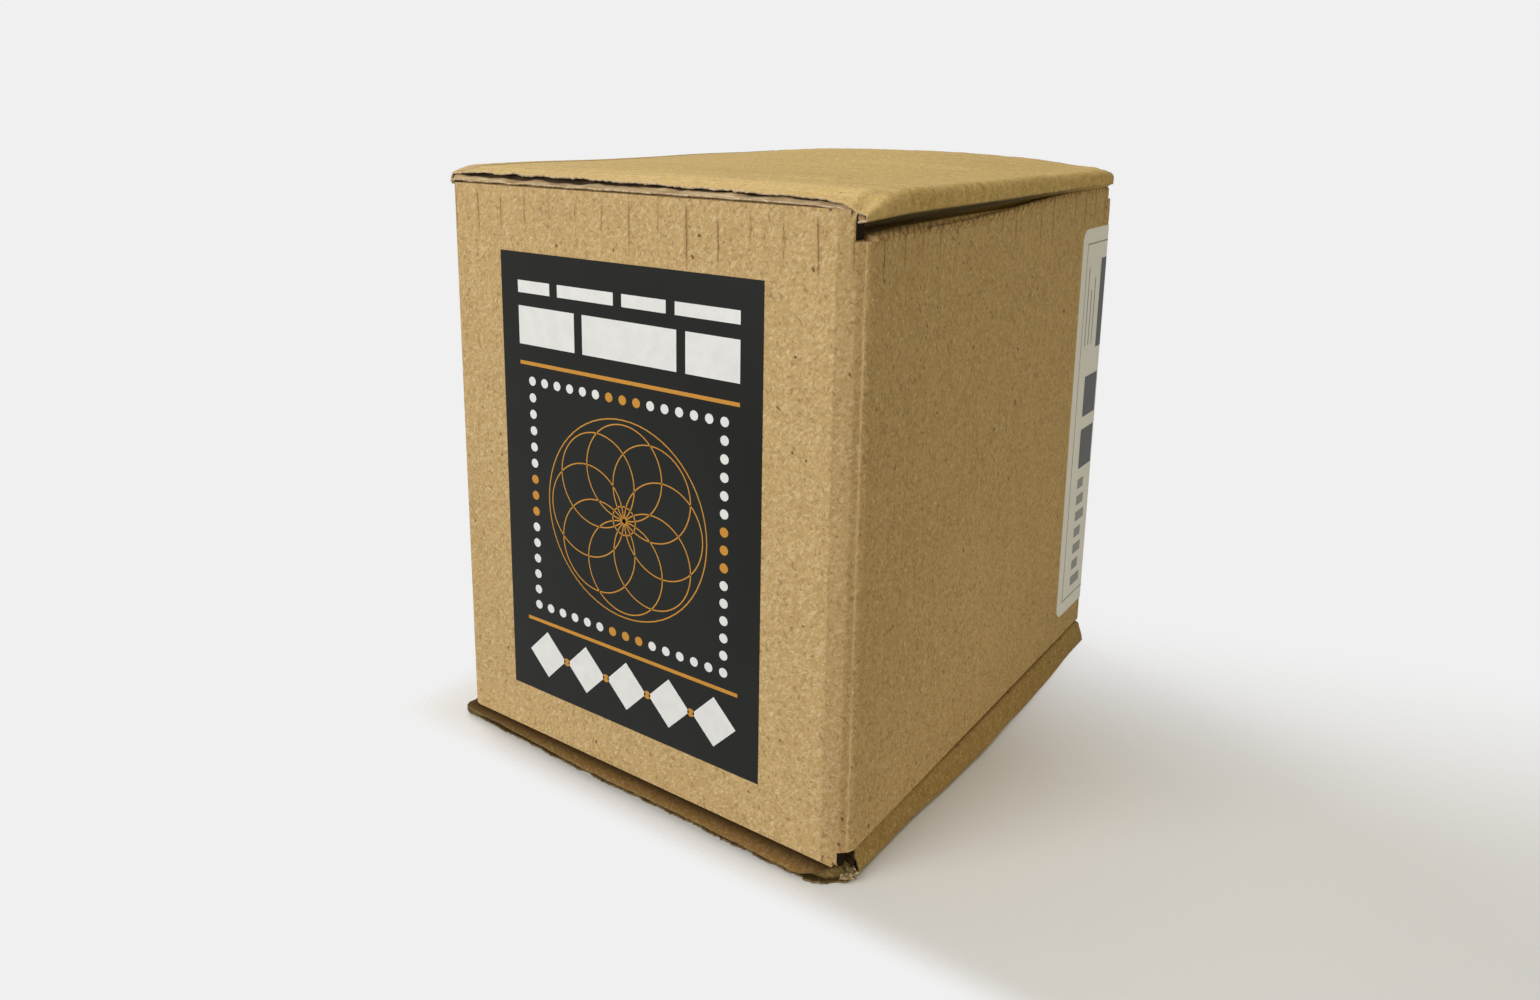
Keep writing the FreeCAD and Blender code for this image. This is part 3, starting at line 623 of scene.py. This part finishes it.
def lid_closure(settings):
    """The lid's section, from the hinge over the top and round the nose to the tip of the tuck."""
    low, high = LID_LOW, LID_HIGH
    drop = high.z - low.z
    wall_top = CARTON_HIGH.z
    outer = [
        (low.x + 0.1, 2.7, 0), (low.x, 0, 2.0), (high.x, 0, 3.8), (high.x, 4.6, 1.2), (46.9, 7.8, 3.0),
        (44.34, drop, 0),
    ]
    inner = [
        (low.x + 0.9, 2.8, 0), (low.x + 1.4, BOARD, 0.3), (47.6, BOARD, 0.5), (49.0, 4.0, 0.4),
        (44.2, 6.9, 1.0), (41.34, drop, 0),
    ]
    bulge = settings.bulge / MM

    def ends(x, depth):
        if depth > 4.4 and x < CARTON_HIGH.x - 1.8:
            return tuck_ends(drop, depth)
        return low.y, high.y

    # how far, in mm, the crushed front edge reaches, and how much that edge, the nose and the panel move
    edge_reach, nose_drop, nub_out, nub_down = 7.0, 2.3, 1.5, 1.0
    nose_base, tail_base, nose_lift = 124.9, 126.5, 0.4
    ridge_height, lean, panel_wave, nose_wave = 0.2, 0.9, 0.25, 0.3

    def warp(place):
        x, y, z = place
        # the cut edge at the front is crushed, most near the nose and at the hinge, where it leaves a nub
        front = max(0.0, 1 - (y - low.y) / edge_reach) ** 1.5
        foot = wall_top - nose_drop * smooth(46.0, 50.5, x)
        crush = 0.30 + 0.22 * smooth(-20, 38, x) + 0.18 * smooth(44.0, 51.5, -x)
        crush += 0.14 * smooth(38, 46, x) * (1 - smooth(46.5, 50.0, x))
        if z > foot:
            z = foot + (z - foot) * (1 - crush * front)
            nub = front * smooth(50.5, 52.5, -x)
            x += nub_out * nub
            z -= nub_down * nub * (1 - smooth(127.0, 129.0, z))
        # the nose is pinched where it meets that edge, lifted behind, and drawn in a little at its tail
        pinch = smooth(49.0, 62.5, -y) * smooth(48.0, 51.5, x)
        tail = smooth(56.0, 63.0, y) * smooth(46.0, 51.5, x)
        if z > 122.5:
            z -= 0.35 * pinch * (z - nose_base)
            z += nose_lift * smooth(49.0, 51.5, x) * (1 - smooth(125.5, 128.5, z)) * (1 - pinch)
        if z > 122.5:
            z -= 0.22 * tail * (z - tail_base)
        x -= pinch + tail
        # the panel bows up behind its front crease and towards the back, and leans down to the nose
        panel = smooth(123.0, 127.0, z)
        back = smooth(low.y + 20, high.y, y)
        ridge = smooth(low.y + 1.5, low.y + 9, y) * (1 - smooth(low.y + 12, low.y + 60, y))
        across = 1 - ((x + 8.0) / 46.0) ** 2
        z += panel * max(-0.2, across) * (bulge * back + ridge_height * ridge)
        z -= panel * lean * max(0.0, (x - 25.0) / 28.0) ** 2 * (0.6 + 0.4 * back)
        uneven = waver(x / 24.0, y / 30.0, 1.7)
        z += panel_wave * panel * uneven * smooth(low.y, low.y + 10, y)
        # the nose is a little wavy along its length
        x += nose_wave * smooth(48.0, 52.0, x) * waver(0.0, y / 15.0, 8.0)
        return Vector((x, y, z))

    return Closure("lid", low, high, True, outer, inner, ends, warp)


def flap_closure():
    """The bottom flap's section, from the hinge under the box and up to the tip of the tuck."""
    low, high = FLAP_LOW, FLAP_HIGH
    rise = high.z - low.z
    outer = [
        (low.x, 2.3, 0), (low.x, 0, 2.0), (high.x + 1.0, 0, 2.8), (53.0, 6.2, 1.4), (48.0, 6.6, 3.0),
        (45.86, rise, 0),
    ]
    inner = [
        (low.x + 0.8, 2.7, 0), (low.x + 1.4, BOARD - 0.05, 0.3), (49.2, BOARD - 0.05, 0.3), (51.4, 3.5, 0.5),
        (45.4, 4.1, 0.5), (42.86, rise, 0),
    ]
    wall_foot = CARTON_LOW.z

    def ends(x, depth):
        if depth > 4.0 and x < CARTON_HIGH.x - 1.8:
            return tuck_ends(rise, depth)
        roll = smooth(0.3, 1.2, depth) if x > 50.0 else 0.0
        corner = 0.11 * max(0.0, x - 44.0) ** 1.6
        return low.y + corner + (7.0 - corner) * roll, high.y - 2.2 * roll

    # how far, in mm, the standing front edge reaches, and how much that edge and the roll move
    edge_reach, hinge_tuck, edge_wave, face = 3.4, 2.2, 0.35, 0.9
    droop, corner_droop, front_draw, back_draw, roll_wave = 0.9, 0.9, 2.3, 0.7, 0.25

    def warp(place):
        x, y, z = place
        # the edge that stands out of the front: less at the hinge, and bent down towards the floor
        front = max(0.0, 1 - (y - low.y) / edge_reach)
        uneven = waver(x / 16.0, 3.0, 0.0)
        y += front * (hinge_tuck * smooth(5.0, 53.0, -x) ** 1.3 + edge_wave * uneven)
        if face < z < wall_foot + 0.4:
            z -= (droop + corner_droop * smooth(20.0, 46.0, x)) * front ** 1.2 * (z - face) / 2.1
        elif z <= face:
            z += 0.35 * front ** 2
        # the roll swells in the middle and draws in at both ends
        swell = smooth(46.0, 52.5, x)
        x -= swell * (front_draw * smooth(-5.0, 60.0, -y) + back_draw * smooth(20.0, 62.0, y))
        x += roll_wave * swell * waver(z / 4.0, y / 14.0, 6.0)
        return Vector((x, y, max(z, 0.03)))

    return Closure("bottom_flap", low, high, False, outer, inner, ends, warp)


def hinge_strip(closure, board):
    """The outside liner where it runs on from the hinge wall round the closure's fold."""
    lift = 0.07
    wall = -CARTON_HIGH.x - lift
    path = [Vector((wall, depth)) for depth in (9.0, 7.2, 5.6, 4.4, 3.5)]
    near = [i for i, point in enumerate(closure.outer) if point.x < closure.low.x + 6.0 and point.y < BOARD]
    for i in near:
        along = (closure.outer[i + 1] - closure.outer[i]).normalized()
        path.append(closure.outer[i] + lift * Vector((along.y, -along.x)))
    rows = 60

    def place(i, j):
        x, depth = path[i]
        reach = CARTON_HIGH.y - 3.4 + 2.2 * (1 - smooth(1.2, 3.2, depth))
        return closure.put((x, depth), -reach + 2 * reach * j / rows)

    data = grid_sheet(len(path) - 1, rows, place, turned=closure.inwards > 0)
    strip = add_piece(closure.name + "_fold_liner", data, None, [board])
    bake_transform(strip)


def corner_fold(board, name, side, low, high):
    """The outside liner round a fold beside the tuck wall: a flattened score with a fine raised ridge."""
    lift, radius = 0.05, 3.2
    middle = Vector((CARTON_HIGH.x - radius, CARTON_HIGH.y - radius))
    path = [Vector((x, CARTON_HIGH.y + out)) for x, out in (
        (46.6, 0.02), (47.0, lift), (48.5, lift), (49.88, lift), (50.3, -0.1))]
    for step in range(10):
        turn = math.radians(56) * (1 - step / 9)
        reach = radius + lift + 0.08 * max(0.0, 1 - abs(turn - 0.62) / 0.16)
        path.append(middle + reach * Vector((math.cos(turn), math.sin(turn))))
    path += [Vector((CARTON_HIGH.x + lift, NOTCH_Y)), Vector((CARTON_HIGH.x + 0.02, NOTCH_Y - 0.4))]
    rows = max(5, round((high - low) / 1.3))

    def place(i, j):
        spot = path[i]
        z = low + (high - low) * j / rows
        crook = 0.12 * abs(waver(spot.x / 1.5, z / 5.0, 3.0)) if 1 < i < len(path) - 2 else 0.0
        out = (spot - middle).normalized() * crook
        return Vector((spot.x + max(0.0, out.x), side * (spot.y + out.y), z))

    add_piece(name, grid_sheet(len(path) - 1, rows, place, turned=side < 0), "carton", [board])


def raised_lip(board):
    """The back of the tuck wall's top edge, bent in less by the tuck: it stands up to the lid's nose."""
    start, end, cells = -40.0, NOTCH_Y - 0.4, 60

    def place(i, j):
        y = start + (end - start) * i / cells
        crease = LIP_CREASE + LIP_RISE * smooth(-35.0, 50.0, y)
        crease += 0.12 * waver(y / 6.0, 0.0, 2.0)
        out, z = ((0.01, LIP_CREASE - 0.6), (0.04, LIP_CREASE - 0.3), (0.04, crease),
                  (-0.22, crease + 0.45), (-0.72, crease + 0.85))[j]
        return Vector((CARTON_HIGH.x + out, y, z))

    thicken(add_piece("raised_lip", grid_sheet(cells, 4, place), "carton", [board]), 0.25 * MM)


def notch_scraps(board, pulp, hollow):
    """At the front end of the bottom roll: its crushed hollow end in painted shade, and torn liner folded
    into the notch.
    """
    def crushed_end(i, j):
        u, v = i / 10, j / 10
        dent = 0.5 * waver(3 * u, 3 * v, 5.0)
        return Vector((46.5 + 4.6 * u, -58.9 + dent + 0.8 * u * v, 0.5 + 5.4 * v))

    add_piece("roll_end", grid_sheet(10, 10, crushed_end), "bottom_flap", [hollow])

    for k, (size, middle, turn, seed) in enumerate((
            ((2.8, 1.8), Vector((51.0, -60.7, 1.3)), 0.6, 2.0),
            ((2.0, 1.4), Vector((51.5, -60.0, 2.1)), -0.7, 5.0))):
        def crumpled(i, j):
            u, v = i / 12 - 0.5, j / 10 - 0.5
            edge = 1 + 0.35 * waver(5 * u, 5 * v, seed)
            x, y = u * size[0] * edge, v * size[1] * edge
            z = 0.7 * waver(3.2 * u, 2.6 * v, seed + 9) + 0.45 * (2 * v) ** 2 - 0.2
            spot = Matrix.Rotation(turn, 3, "Z") @ Vector((x, y, z)) + middle
            return Vector((spot.x, spot.y, max(spot.z, 0.1)))

        scrap = add_piece("torn_liner_%d" % k, grid_sheet(12, 10, crumpled), "bottom_flap", [pulp, board])
        thicken(scrap, 0.25 * MM)


def build_closure(closure, settings, board, inside, pulp, medium, setbacks, tears):
    """The three sheets of a closure, standing for its CAD node."""
    for side, face, setback, tear, seed in (("outer", board, setbacks[0], tears[0], 1.0),
                                            ("inner", inside, setbacks[1], tears[1], 11.0)):
        data = liner_sheet(closure, side, setback, tear, seed)
        piece = add_piece("%s_%s_liner" % (closure.name, side), data, closure.name, [face, pulp])
        thicken(piece, settings.liner, rim=1)
        if side == "outer":
            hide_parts(closure.name)
    data = medium_sheet(closure, settings, setbacks[2], tears[2], 4.0)
    thicken(add_piece(closure.name + "_fluting", data, closure.name, [medium]), settings.liner * 0.8)


# ---- Print on the labels ----


def print_piece(name, material, shapes, place):
    """Flat printed shapes, drawn in the label's own plane and then laid on it."""
    data = bmesh.new()
    for draw in shapes:
        draw(data)
    for corner in data.verts:
        corner.co = place(corner.co.x, corner.co.y)
    add_piece(name, data, "carton", [material])


def bar(left, low, width, height, steps=1):
    """A printed rectangle, divided along its width where it has to bend."""
    def draw(data):
        place = Matrix.Translation((left + width / 2, low + height / 2, 0))
        bmesh.ops.create_grid(data, x_segments=steps, y_segments=1, size=0.5,
                              matrix=place @ Matrix.Diagonal((width, height, 1, 1)))
    return draw


def disc(across, up, radius, segments):
    """A printed dot, or a diamond where it has four sides."""
    def draw(data):
        bmesh.ops.create_circle(data, cap_ends=True, segments=segments, radius=radius,
                                matrix=Matrix.Translation((across, up, 0)))
    return draw


def ring(across, up, radius, width, segments=64):
    """A printed circle line."""
    def draw(data):
        made = bmesh.ops.create_circle(data, cap_ends=True, segments=segments, radius=radius,
                                       matrix=Matrix.Translation((across, up, 0)))
        face = made["verts"][0].link_faces[0]
        bmesh.ops.inset_individual(data, faces=[face], thickness=width, use_even_offset=True)
        bmesh.ops.delete(data, geom=[face], context="FACES_ONLY")
    return draw


def front_label_print(settings):
    """From the foot up: white diamonds, a gold rule, a rosette in a beaded square, a rule and white bars."""
    width = LABEL_HIGH.x - LABEL_LOW.x
    line = settings.line / MM
    middle, centre, margin = width / 2, 46.4, 5.0
    petal, hub, half, bead, beads = 10.2, 3.2, 25.4, 1.0, 14
    foot, rules, rule_width, space = 9.6, (16.8, 75.2), 0.8, 2.2
    inside = width - 2 * margin
    white, gold = [], []

    for k in range(settings.petals):
        turn = 2 * math.pi * k / settings.petals
        gold.append(ring(middle + petal * math.cos(turn), centre + petal * math.sin(turn), petal, line))
    gold.append(ring(middle, centre, 2 * petal + 1.0, line))
    gold.append(ring(middle, centre, hub, line, 32))
    for k in range(beads):
        off = -half + 2 * half * k / beads
        for across, up in ((off, -half), (half, off), (-off, half), (-half, -off)):
            # the middle three beads of each side are gold
            (gold if k in (6, 7, 8) else white).append(disc(middle + across, centre + up, bead, 16))

    pitch = inside / settings.diamonds
    for k in range(settings.diamonds):
        white.append(disc(margin + pitch * (k + 0.5), foot, 0.47 * pitch, 4))
        if k:
            gold.append(disc(margin + pitch * k, foot, 0.9 * bead, 16))
    for low in rules:
        gold.append(bar(margin, low, inside, rule_width))

    for low, height, shares in ((79.6, 8.2, (0.30, 0.46, 0.24)), (90.6, 2.6, (0.18, 0.30, 0.22, 0.30))):
        left = margin
        for share in shares:
            reach = share * (inside - space * (len(shares) - 1))
            white.append(bar(left, low, reach, height))
            left += reach + space
    return white, gold


def wrap_place(lift):
    """Where a point of the shipping label's flat sheet comes to lie, round the back of the box."""
    half_x, half_y = CARTON_HIGH.x, CARTON_HIGH.y
    fold, seam = 2.8, 0.6
    out = WRAP_HIGH.x - half_x + lift

    def place(u, v):
        z = WRAP_LOW.z + v
        u -= half_y - fold - WRAP_START
        if u < 0:
            return Vector((half_x + out, half_y - fold + u, z))
        if u < math.pi / 2 * fold:
            turn, reach = u / fold, fold + out
            x, y = half_x - fold + reach * math.cos(turn), half_y - fold + reach * math.sin(turn)
            return Vector((x, y, z))
        u -= math.pi / 2 * fold
        if u < 2 * half_x - fold - seam:
            return Vector((half_x - fold - u, half_y + out, z))
        u -= 2 * half_x - fold - seam
        if u < math.pi / 2 * seam:
            turn, reach = u / seam, seam + out
            x, y = -half_x + seam - reach * math.sin(turn), half_y - seam + reach * math.cos(turn)
            return Vector((x, y, z))
        u -= math.pi / 2 * seam
        return Vector((-half_x - out, half_y - seam - u, z))

    return place


def shipping_label_print():
    """A grey rule, and plain bars where an address and a code would be."""
    left, low, line, steps = 3.2, 3.6, 0.35, 240
    width, height = WRAP_LENGTH - 2 * left, WRAP_HIGH.z - WRAP_LOW.z - 2 * low
    grey = [bar(left, low, width, line, steps), bar(left, low + height - line, width, line, steps),
            bar(left, low, line, height), bar(left + width - line, low, line, height)]
    black = [bar(14.2, 70.5, 4.6, 23.0, 6), bar(8.2, 53.0, 9.0, 10.6), bar(8.2, 39.0, 9.0, 10.6)]
    for k, reach in enumerate((20.0, 14.0, 17.0)):
        grey.append(bar(5.6 + 2.4 * k, 72.0, 0.55, reach))
    for k, reach in enumerate((6.2, 4.4, 5.4, 4.6, 6.2, 5.0, 4.2)):
        grey.append(bar(8.6, 6.4 + 4.5 * k, reach, 2.6, 4))
    for k, thickness in enumerate((0.9, 1.6, 0.6, 1.1) * 4 + (0.9,)):
        black.append(bar(42.0 + 2.6 * k, 22.0, thickness, 58.0))
    for k, reach in enumerate((52.0, 38.0, 46.0, 30.0, 41.0, 20.0)):
        grey.append(bar(94.0 + 6.0 * k, 22.0, 1.7, reach))
    return grey, black


# ---- Operators ----


class MUGBOX_OT_carton(bpy.types.Operator):
    """Give the folded carton its kraft liner"""
    bl_idname = "mugbox.carton"
    bl_label = "Carton Board"

    def execute(self, context):
        settings = context.scene.mugbox_board
        board = kraft_board("kraft liner, walls", settings, walls=True)
        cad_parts["carton"].data.materials.clear()
        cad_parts["carton"].data.materials.append(board)
        foot, head = ROLL_TOP + 0.02, LIP_CREASE - 0.05
        corner_fold(board, "corner_fold_front", -1, foot, head)
        corner_fold(board, "corner_fold_back_low", 1, foot, WRAP_LOW.z - 0.2)
        corner_fold(board, "corner_fold_back_high", 1, WRAP_HIGH.z + 0.2, head)
        raised_lip(board)
        return {"FINISHED"}


class MUGBOX_OT_closures(bpy.types.Operator):
    """Build the lid and the bottom flap as two liners with fluting between"""
    bl_idname = "mugbox.closures"
    bl_label = "Lid and Bottom Flap"

    def execute(self, context):
        settings = context.scene.mugbox_board
        walls = kraft_board("kraft liner, folds", settings, walls=True)
        # the lid's liner is lighter and yellower than the walls': partly its own tone, partly painted light
        # on the top
        top = kraft_board("kraft liner, lid", settings, shade=(1.147, 1.216, 0.92), crease=LID_LOW.y + 6.5)
        # the flap's outside liner is a darker copy of the liner: painted shade on the roll under the box,
        # deepest at its front
        base = kraft_board("kraft liner, base", settings, shade=(0.66, 0.62, 0.42), fibres=0.6,
                           gloom=(FLAP_LOW.y + 6.6, FLAP_LOW.y + 4.6))
        inside = kraft_board("kraft liner, inside face", settings, shade=(0.46, 0.37, 0.25), fibres=0.5)
        # the flap's inside face: a darker copy of the liner, partly soiled and partly painted shade, with
        # more painted shade next to the wall
        shaded = kraft_board("kraft liner, soiled inside face", settings, shade=(0.36, 0.29, 0.18),
                             fibres=0.3, gloom=(CARTON_LOW.y - 3.4, CARTON_LOW.y + 0.1))
        pale = torn_edge("torn kraft pulp, pale", "#A58A66", "#DFCBAA")
        dull = torn_edge("torn kraft pulp, rubbed", "#4A3C24", "#86744C")
        # near-black painted shade on the crushed board inside the roll's end
        hollow = torn_edge("crushed fluting, painted shade", "#1E150B", "#4A3820")
        medium = fluting("kraft fluting, clean", "#A88A62", "#DCC7A2", deep=LID_HIGH.y - 1.2)
        # darker fluting for the bottom flap: painted shade in its open edge
        shaded_fluting = fluting("kraft fluting, painted shade", "#5A482A", "#93804F")
        rag = settings.raggedness / MM
        lid, flap = lid_closure(settings), flap_closure()
        build_closure(lid, settings, top, inside, pale, medium,
                      ((0.0, 0.0), (0.1, 0.1), (0.15, 0.15)), (1.2 * rag, 0.4 * rag, 0.4 * rag))
        build_closure(flap, settings, base, shaded, dull, shaded_fluting,
                      ((0.9, 0.4), (0.0, 0.0), (0.7, 0.7)), (1.1 * rag, 0.3 * rag, 0.8 * rag))
        hinge_strip(lid, walls)
        hinge_strip(flap, walls)
        scrap = torn_edge("torn kraft pulp, soiled", "#4E3E26", "#CDB78C")
        notch_scraps(shaded, scrap, hollow)
        return {"FINISHED"}


class MUGBOX_OT_labels(bpy.types.Operator):
    """Finish the two labels and lay their print on them"""
    bl_idname = "mugbox.labels"
    bl_label = "Labels"

    def execute(self, context):
        settings = context.scene.mugbox_labels
        dark_paper = label_paper("satin label paper, black", "#0C0E0A", "#161915", 0.34, 0.2)
        white_paper = label_paper("thermal label paper, white", "#F0F0EC", "#F8F8F4", 0.6, 0.4)
        for node, paper in (("front_label", dark_paper), ("shipping_label", white_paper)):
            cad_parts[node].data.materials.clear()
            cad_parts[node].data.materials.append(paper)
        white_ink, gold_ink = ink("white ink", "#F0F0EE"), ink("gold ink", "#CF9130")
        grey_ink, black_ink = ink("grey ink", "#8C8C86"), ink("black thermal print", "#2A2A28")
        white, gold = front_label_print(settings)

        def on_front(lift):
            return lambda u, v: Vector((LABEL_LOW.x + u, LABEL_LOW.y - lift, LABEL_LOW.z + v))

        print_piece("front_print_gold", gold_ink, gold, on_front(0.02))
        print_piece("front_print_white", white_ink, white, on_front(0.02))
        grey, black = shipping_label_print()
        print_piece("shipping_print_grey", grey_ink, grey, wrap_place(0.02))
        print_piece("shipping_print_black", black_ink, black, wrap_place(0.03))
        return {"FINISHED"}


class MUGBOX_OT_stage(bpy.types.Operator):
    """Set up the floor, the lamps and the camera"""
    bl_idname = "mugbox.stage"
    bl_label = "Stage"

    def execute(self, context):
        settings = context.scene.mugbox_stage
        make_floor()
        make_world(context.scene, settings)
        make_lamps(settings)
        make_camera(context.scene, settings)
        return {"FINISHED"}


def make_floor():
    """A plain pale floor that fades into the background away from the box."""
    material, shader, (_, x, y, _) = new_material("matt white paper floor", roughness=0.9, specular=0.1)
    shader.inputs["Base Color"].default_value = srgb("#F2F2F2")
    # the sheet ends softly at the box's front and hinge sides, and beyond its shadow on the others
    back = (x - 60.0).step("MAXIMUM", 0.0) * -0.3 + y
    kept = where((y, -75.0, -64.5), (x, -72.0, -56.0), (back, 88.0, -14.0), (x, 420.0, 200.0))
    clear = add_node(x.tree, "BsdfTransparent")
    feed(x.tree.nodes["Material Output"].inputs["Surface"],
         add_node(x.tree, "MixShader", {0: kept, 1: clear, 2: Field(shader.outputs[0])}))
    data = bmesh.new()
    bmesh.ops.create_grid(data, x_segments=1, y_segments=1, size=1500.0)
    floor = add_piece("floor", data, None, [material])


def make_world(scene, settings):
    """A pale background for the camera and reflections, and a softer light from all round."""
    world = bpy.data.worlds.new("studio")
    scene.world = world
    world.use_nodes = True
    tree = world.node_tree
    seen = tree.nodes["Background"]
    seen.inputs["Color"].default_value = srgb("#F0F0F0")
    around = add_node(tree, "Background", {"Color": srgb("#FFFFFF"), "Strength": settings.ambient})
    camera, glossy, through = (add_node(tree, "LightPath", out="Is %s Ray" % kind)
                               for kind in ("Camera", "Glossy", "Transmission"))
    shown = camera.step("MAXIMUM", glossy).step("MAXIMUM", through)
    feed(tree.nodes["World Output"].inputs["Surface"],
         add_node(tree, "MixShader", {0: shown, 1: around, 2: Field(seen.outputs[0])}))


def make_lamps(settings):
    """A broad window light from the hinge side, a soft front light, one overhead, and a warm room."""
    for name, power, size, place, colour in (
            ("window lamp", settings.key_power, 0.6, (-0.80, 0.30, 0.60), "#FFFFFF"),
            ("front lamp", settings.fill_power, 1.0, (-0.25, -1.0, 0.50), "#FFFDF9"),
            ("overhead lamp", settings.top_power, 1.0, (0.0, 0.1, 1.1), "#FFFFFF"),
            ("room lamp", settings.room_power, 1.0, (0.95, -0.1, 0.35), "#FFE789")):
        data = bpy.data.lights.new(name, "AREA")
        data.shape = "DISK"
        data.size = size
        data.energy = power
        data.color = srgb(colour)[:3]
        lamp = bpy.data.objects.new(name, data)
        bpy.context.scene.collection.objects.link(lamp)
        lamp.location = place
        lamp.rotation_euler = (Vector((0, 0, 0.06)) - Vector(place)).to_track_quat("-Z", "Y").to_euler()


def make_camera(scene, settings):
    """A camera at the box's near corner, with its lens shifted to hold the whole box from every side."""
    data = bpy.data.cameras.new("camera")
    data.sensor_width = 36.0
    data.lens = settings.lens
    data.shift_x, data.shift_y = settings.shift
    data.clip_start = 0.01
    camera = bpy.data.objects.new("camera", data)
    scene.collection.objects.link(camera)
    camera.matrix_world = Matrix.Translation(settings.camera_place)
    tilt = math.pi / 2 - settings.elevation
    for angle, axis in ((settings.azimuth, "Z"), (tilt, "X"), (settings.roll, "Z")):
        camera.matrix_world = camera.matrix_world @ Matrix.Rotation(angle, 4, axis)
    scene.camera = camera


class MUGBOX_PT_panel(bpy.types.Panel):
    """Buttons that dress the box, in order"""
    bl_idname = "MUGBOX_PT_panel"
    bl_label = "Mug Box"
    bl_space_type = "VIEW_3D"
    bl_region_type = "UI"
    bl_category = "Mug Box"

    def draw(self, context):
        for operator in OPERATORS:
            self.layout.operator(operator.bl_idname)


SETTINGS = {"mugbox_board": BoardSettings, "mugbox_labels": LabelSettings, "mugbox_stage": StageSettings}
OPERATORS = (MUGBOX_OT_carton, MUGBOX_OT_closures, MUGBOX_OT_labels, MUGBOX_OT_stage)
CLASSES = (*SETTINGS.values(), *OPERATORS, MUGBOX_PT_panel)


def register():
    """Add the settings, the operators and the panel."""
    for group in CLASSES:
        bpy.utils.register_class(group)
    for name, group in SETTINGS.items():
        setattr(bpy.types.Scene, name, PointerProperty(type=group))


def unregister():
    """Take away what register added."""
    for name in SETTINGS:
        delattr(bpy.types.Scene, name)
    for group in reversed(CLASSES):
        bpy.utils.unregister_class(group)


def main():
    """Dress the box."""
    register()
    scene = bpy.context.scene
    scene.view_settings.view_transform = "Standard"
    for operator in OPERATORS:
        getattr(bpy.ops.mugbox, operator.bl_idname.split(".")[1])()


if __name__ == "__main__":
    main()
